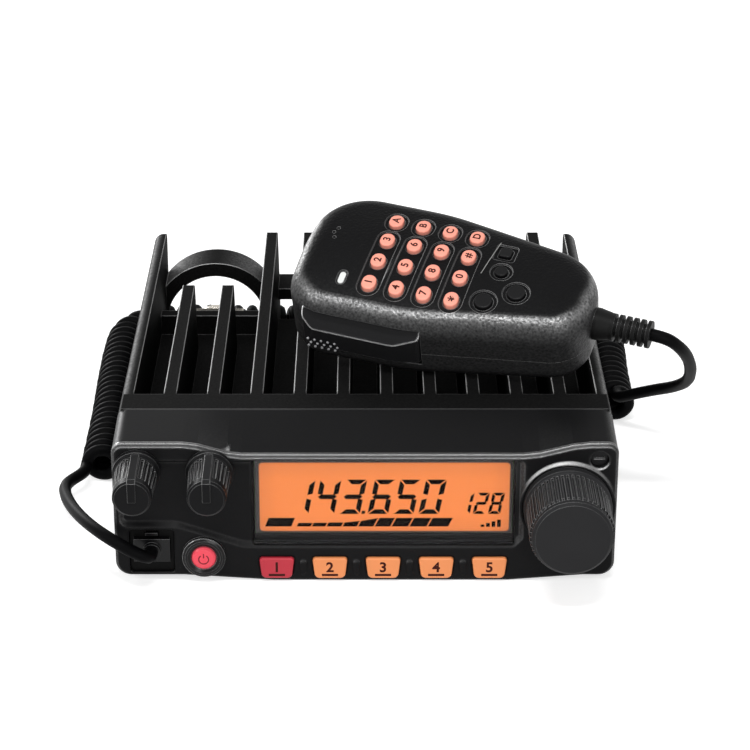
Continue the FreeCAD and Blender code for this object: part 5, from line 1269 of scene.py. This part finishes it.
@dataclass
class CurlyCord(SubAssembly):
    """The microphone's cord: plain lead, curly part round the back, lead up to the boot."""

    wire: float = 4.2
    helix: float = 5.15
    turn_points: int = 14
    side_pitch: float = 4.45
    rear_pitch: float = 5.4
    height: float = 7.3
    lead_route: tuple[Point, ...] = (
        (-68.2, -2.0, 11.3), (-68.2, -4.8, 11.3), (-69.9, -7.0, 12.5), (-73.0, -7.6, 14.4),
        (-77.3, -6.2, 16.2), (-83.0, -1.8, 17.5), (-88.4, 6.2, 17.0), (-93.6, 18.0, 14.8),
        (-98.4, 33.0, 11.4), (-101.8, 48.0, 8.2), (-101.8, 57.0, 6.8), (-96.35, 64.0, 7.3),
        (-96.35, 69.5, 7.3),
    )
    coil_route: tuple[Point, ...] = (
        (-91.2, 69.5, 7.3), (-91.2, 104.0, 7.3), (-92.4, 140.0, 7.3), (-92.8, 168.0, 7.3),
        (-92.0, 184.0, 7.3), (-84.5, 194.0, 7.3), (-70.0, 196.0, 7.3), (-47.0, 195.2, 7.3),
        (-9.0, 194.6, 7.3), (28.0, 195.4, 7.3), (51.0, 195.1, 7.3), (70.0, 196.0, 7.3),
        (84.4, 194.0, 7.3), (92.0, 184.0, 7.3), (92.6, 168.0, 7.3), (91.2, 147.0, 7.3),
        (91.2, 120.0, 7.3),
    )
    mic_route: tuple[Point, ...] = (
        (93.42, 42.40, 68.05), (98.12, 40.75, 67.66), (103.0, 43.2, 63.4), (107.0, 51.0, 56.4),
        (110.1, 63.0, 46.6), (111.4, 77.0, 35.9), (108.8, 91.0, 27.3), (102.6, 102.5, 20.8),
        (95.7, 109.5, 15.8), (91.2, 114.0, 12.45), (91.2, 117.2, 12.45),
    )
    tail: tuple[Point, ...] = ((91.2, 118.4, 12.45), (91.2, 115.9, 12.45))
    rear_from: Flat = (0.24, 0.08)
    rear_until: Flat = (0.9, 0.06)
    waves: tuple[Point, ...] = ((0.035, 61.0, 0.0), (0.02, 149.0, 1.0))
    least_gap: float = 0.2
    least_share: float = 0.2
    route_steps: int = 24
    turn_steps: int = 5
    lead_steps: int = 12

    def build(self) -> None:
        lead = metres(self.lead_route)
        turns = self.helix_points(self.read_spline(metres(self.coil_route), self.route_steps))
        points = lead[:-1] + turns + metres(self.tail)
        data = self.round_cord(points, self.turn_steps, "curly_cord", 3)
        cord = in_scene("curly_cord", data)
        data.materials.append(self.shelf.get("cord_black"))
        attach(cord, Body.RADIO.value)
        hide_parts("radio_side_lead", "coiled_cord")
        length = self.length(self.read_spline(points, self.turn_steps))
        log.info("curly_cord: %d points, %.3f m", len(points), length)
        self.mic_lead()

    def mic_lead(self) -> None:
        """Build the plain lead from the microphone's boot down to the curly part."""
        points = metres(self.mic_route)
        line = self.read_spline(points, self.lead_steps)
        data = self.round_cord(points, self.lead_steps, "mic_lead_curve", 4)
        carrier = bpy.data.objects.new("mic_lead_curve", data)
        mesh = bpy.data.meshes.new_from_object(carrier)
        bpy.data.objects.remove(carrier)
        mesh.name = "mic_lead"
        for face in mesh.polygons:
            face.use_smooth = True
        mesh.materials.clear()
        mesh.materials.append(self.shelf.get("cord_black"))
        lead = in_scene("mic_lead", mesh)
        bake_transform(lead)
        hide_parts("mic_side_lead")
        log.info("mic_lead: %.3f m", self.length(line))

    def round_cord(self, points: list[Vector], resolution: int, name: str,
                   roundness: int) -> bpy.types.Curve:
        """A smooth curve as thick as the cord, closed at its ends.

        Args:
            points: Its control points in metres.
            resolution: Steps between two of them.
            name: Name of the curve's data.
            roundness: Steps of its round section.

        Returns:
            The curve's data.
        """
        data = self.spline(points, resolution, name)
        data.bevel_depth = self.wire / 2 * MM
        data.bevel_resolution = roundness
        data.use_fill_caps = True
        return data

    @staticmethod
    def spline(points: list[Vector], resolution: int, name: str) -> bpy.types.Curve:
        """A smooth curve led by points.

        Args:
            points: Its control points in metres.
            resolution: Steps between two of them.
            name: Name of the curve's data.

        Returns:
            The curve's data, with no bevel.
        """
        data = bpy.data.curves.new(name, "CURVE")
        data.dimensions = "3D"
        data.resolution_u = resolution
        line = data.splines.new("NURBS")
        line.points.add(len(points) - 1)
        for knot, point in zip(line.points, points):
            knot.co = (*point, 1.0)
        line.order_u = 3
        line.use_endpoint_u = True
        line.resolution_u = resolution
        return data

    def read_spline(self, points: list[Vector], resolution: int) -> list[Vector]:
        """Points read along the smooth curve of some control points."""
        data = self.spline(points, resolution, "route")
        carrier = bpy.data.objects.new("route", data)
        mesh = bpy.data.meshes.new_from_object(carrier)
        read = [vertex.co.copy() for vertex in mesh.vertices]
        bpy.data.objects.remove(carrier)
        bpy.data.curves.remove(data)
        bpy.data.meshes.remove(mesh)
        return read

    @staticmethod
    def length(line: list[Vector]) -> float:
        """Length of a line of points."""
        return sum((b - a).length for a, b in zip(line, line[1:]))

    def pitch_at(self, share: float, bend: float) -> float:
        """Distance between two turns at one place of the route.

        Args:
            share: How far along the route, from 0 to 1.
            bend: How sharply the route bends there, in 1/m.

        Returns:
            The pitch in metres.
        """
        since, grown = self.rear_from
        until, fading = self.rear_until
        rear = (min(1.0, max(0.0, (share - since) / grown))
                * min(1.0, max(0.0, (until - share) / fading)))
        calm = self.side_pitch + (self.rear_pitch - self.side_pitch) * rear
        uneven = 1.0
        for size, rate, start in self.waves:
            uneven += size * math.sin(share * rate + start)
        closest = (self.wire + self.least_gap) * MM / max(self.least_share, 1 - bend * self.helix * MM)
        return max(calm * MM * uneven, closest)

    def helix_points(self, route: list[Vector]) -> list[Vector]:
        """Wind the curly part round its route.

        Args:
            route: Points read along the middle line.

        Returns:
            The turns' points, from the left end to the right end.
        """
        step, slack = 0.0001, 1e-6
        fine = []
        for a, b in zip(route, route[1:]):
            count = max(1, round((b - a).length / step))
            fine += [a.lerp(b, k / count) for k in range(count)]
        fine.append(route[-1])
        window = 40
        total = len(fine)
        ways, bends = [], []
        for i in range(total):
            near, far = fine[max(0, i - window)], fine[min(total - 1, i + window)]
            ways.append((far - near).normalized())
        for i in range(total):
            near, far = ways[max(0, i - window)], ways[min(total - 1, i + window)]
            span = step * (min(total - 1, i + window) - max(0, i - window))
            bends.append(near.angle(far) / span)
        gains = [0.0]
        for i in range(1, total):
            apart = (fine[i] - fine[i - 1]).length
            gains.append(gains[-1] + 2 * math.pi * apart / self.pitch_at(i / total, bends[i]))
        quarter = math.pi / 2
        wanted = quarter + 2 * math.pi * math.floor((gains[-1] - quarter) / (2 * math.pi))
        stretch = wanted / gains[-1]
        turn_step = 2 * math.pi / self.turn_points
        radius = self.helix * MM / math.cos(turn_step / 2)
        upward = Vector((0, 0, 1))
        points, due = [], 0.0
        for place, way, gain in zip(fine, ways, gains):
            if gain * stretch + slack < due:
                continue
            angle = gain * stretch - quarter
            side = way.cross(upward).normalized()
            points.append(place + upward * (radius * math.cos(angle))
                          + side * (radius * math.sin(angle)))
            due += turn_step
        return points


# ---------------------------------------------------------------- studio
@dataclass
class Studio:
    """Pale floor, soft lamps, white surroundings and the camera."""

    lens: float = 118.65
    shift: float = 0.01333
    camera_place: Point = (0.0, -698.9, 386.8)
    camera_down: float = 24.2
    floor_radius: float = 6.0
    floor_drop: float = 0.00005
    floor_colour: float = 0.8
    floor_lift: float = 0.62
    surroundings: float = 0.34
    aim: Point = (0.0, -0.02, 0.04)
    lamps: tuple[tuple[str, Point, Flat, float], ...] = (
        ("top_lamp", (-0.1, -0.59, 1.3), (0.7, 0.1), 10.0),
        ("rim_lamp", (-0.75, 1.26, 0.35), (0.4, 0.3), 6.0),
        ("left_lamp", (-1.2, -0.79, 0.9), (0.4, 0.4), 5.0),
        ("front_lamp", (0.5, -1.7, 0.55), (0.8, 0.5), 11.0),
    )

    def build(self) -> None:
        """Build the studio."""
        self.camera()
        self.floor()
        self.world()
        for name, place, size, watts in self.lamps:
            self.lamp(name, place, size, watts)
        settings = bpy.context.scene.view_settings
        settings.view_transform = "Standard"

    def camera(self) -> None:
        """Put the camera where the photograph was taken from."""
        data = bpy.data.cameras.new("camera")
        data.lens = self.lens
        data.sensor_width = 36.0
        data.shift_x = self.shift
        data.clip_start = 0.05
        data.clip_end = 50.0
        camera = in_scene("camera", data)
        camera.location = spot(*self.camera_place)
        camera.rotation_euler = (math.radians(90 - self.camera_down), 0.0, 0.0)
        bpy.context.scene.camera = camera

    def floor(self) -> None:
        """Lay the pale floor, which keeps the object's shadow."""
        build = bmesh.new()
        bmesh.ops.create_circle(build, cap_ends=True, radius=self.floor_radius, segments=96)
        mesh = bpy.data.meshes.new("floor")
        build.to_mesh(mesh)
        build.free()
        mesh.transform(Matrix.Translation((0.0, 0.0, -self.floor_drop)))
        floor = in_scene("floor", mesh)
        material = bpy.data.materials.new("floor_pale")
        material.use_nodes = True
        tree = material.node_tree
        shader = tree.nodes["Principled BSDF"]
        feed(tree, shader, {"Base Color": (*[self.floor_colour] * 3, 1.0), "Roughness": 0.9,
                            "Specular IOR Level": 0.0})
        nothing, lift = (add_node(tree, "ShaderNodeEmission", {"Strength": strength})
                         for strength in (0.0, self.floor_lift))
        seen = add_node(tree, "ShaderNodeMixShader", {
            "Fac": self.shown_rays(tree), 1: nothing.outputs["Emission"],
            2: lift.outputs["Emission"]})
        total = add_node(tree, "ShaderNodeAddShader", {
            0: shader.outputs["BSDF"], 1: seen.outputs["Shader"]})
        feed(tree, tree.nodes["Material Output"], {"Surface": total.outputs["Shader"]})
        mesh.materials.append(material)

    def world(self) -> None:
        """White surroundings for the camera and for reflections, calmer as light."""
        world = bpy.data.worlds.new("surroundings")
        bpy.context.scene.world = world
        world.use_nodes = True
        tree = world.node_tree
        tree.nodes.clear()
        light, white = (add_node(tree, "ShaderNodeBackground", {
            "Color": (1.0, 1.0, 1.0, 1.0), "Strength": strength})
            for strength in (self.surroundings, 1.0))
        choose = add_node(tree, "ShaderNodeMixShader", {
            "Fac": self.shown_rays(tree), 1: light.outputs["Background"],
            2: white.outputs["Background"]})
        add_node(tree, "ShaderNodeOutputWorld", {"Surface": choose.outputs["Shader"]})

    @staticmethod
    def shown_rays(tree: bpy.types.NodeTree) -> bpy.types.NodeSocket:
        """Tell the rays that show the background from those that only light.

        Args:
            tree: The node tree that asks.

        Returns:
            A socket that is 1 for the camera's, glossy and transmitted rays.
        """
        rays = add_node(tree, "ShaderNodeLightPath").outputs
        clear = reckon(tree, "MAXIMUM", rays["Is Camera Ray"], rays["Is Glossy Ray"])
        return reckon(tree, "MAXIMUM", clear, rays["Is Transmission Ray"])

    def lamp(self, name: str, place: Point, size: Flat, watts: float) -> None:
        """Hang a soft lamp that points at the object.

        Args:
            name: Name of the lamp.
            place: Where it hangs, in metres.
            size: Its width and height.
            watts: Its power.
        """
        data = bpy.data.lights.new(name, "AREA")
        data.shape = "RECTANGLE"
        data.size, data.size_y = size
        data.energy = watts
        lamp = in_scene(name, data)
        lamp.location = place
        way = Vector(self.aim) - Vector(place)
        lamp.rotation_euler = way.to_track_quat("-Z", "Y").to_euler()
        lamp.visible_camera = False


def main() -> None:
    """Build the studio, the cord and every sub-assembly."""
    logging.basicConfig(level=logging.INFO, format="%(name)s: %(message)s")
    Studio().build()
    shelf = FinishShelf(ShaderGroups(), all_finishes())
    repeater = Repeater()
    for kind in (CurlyCord, Case, Front, Display, HandMicrophone):
        log.info("building %s", kind.__name__)
        kind(shelf, repeater).build()


if __name__ == "__main__":
    main()
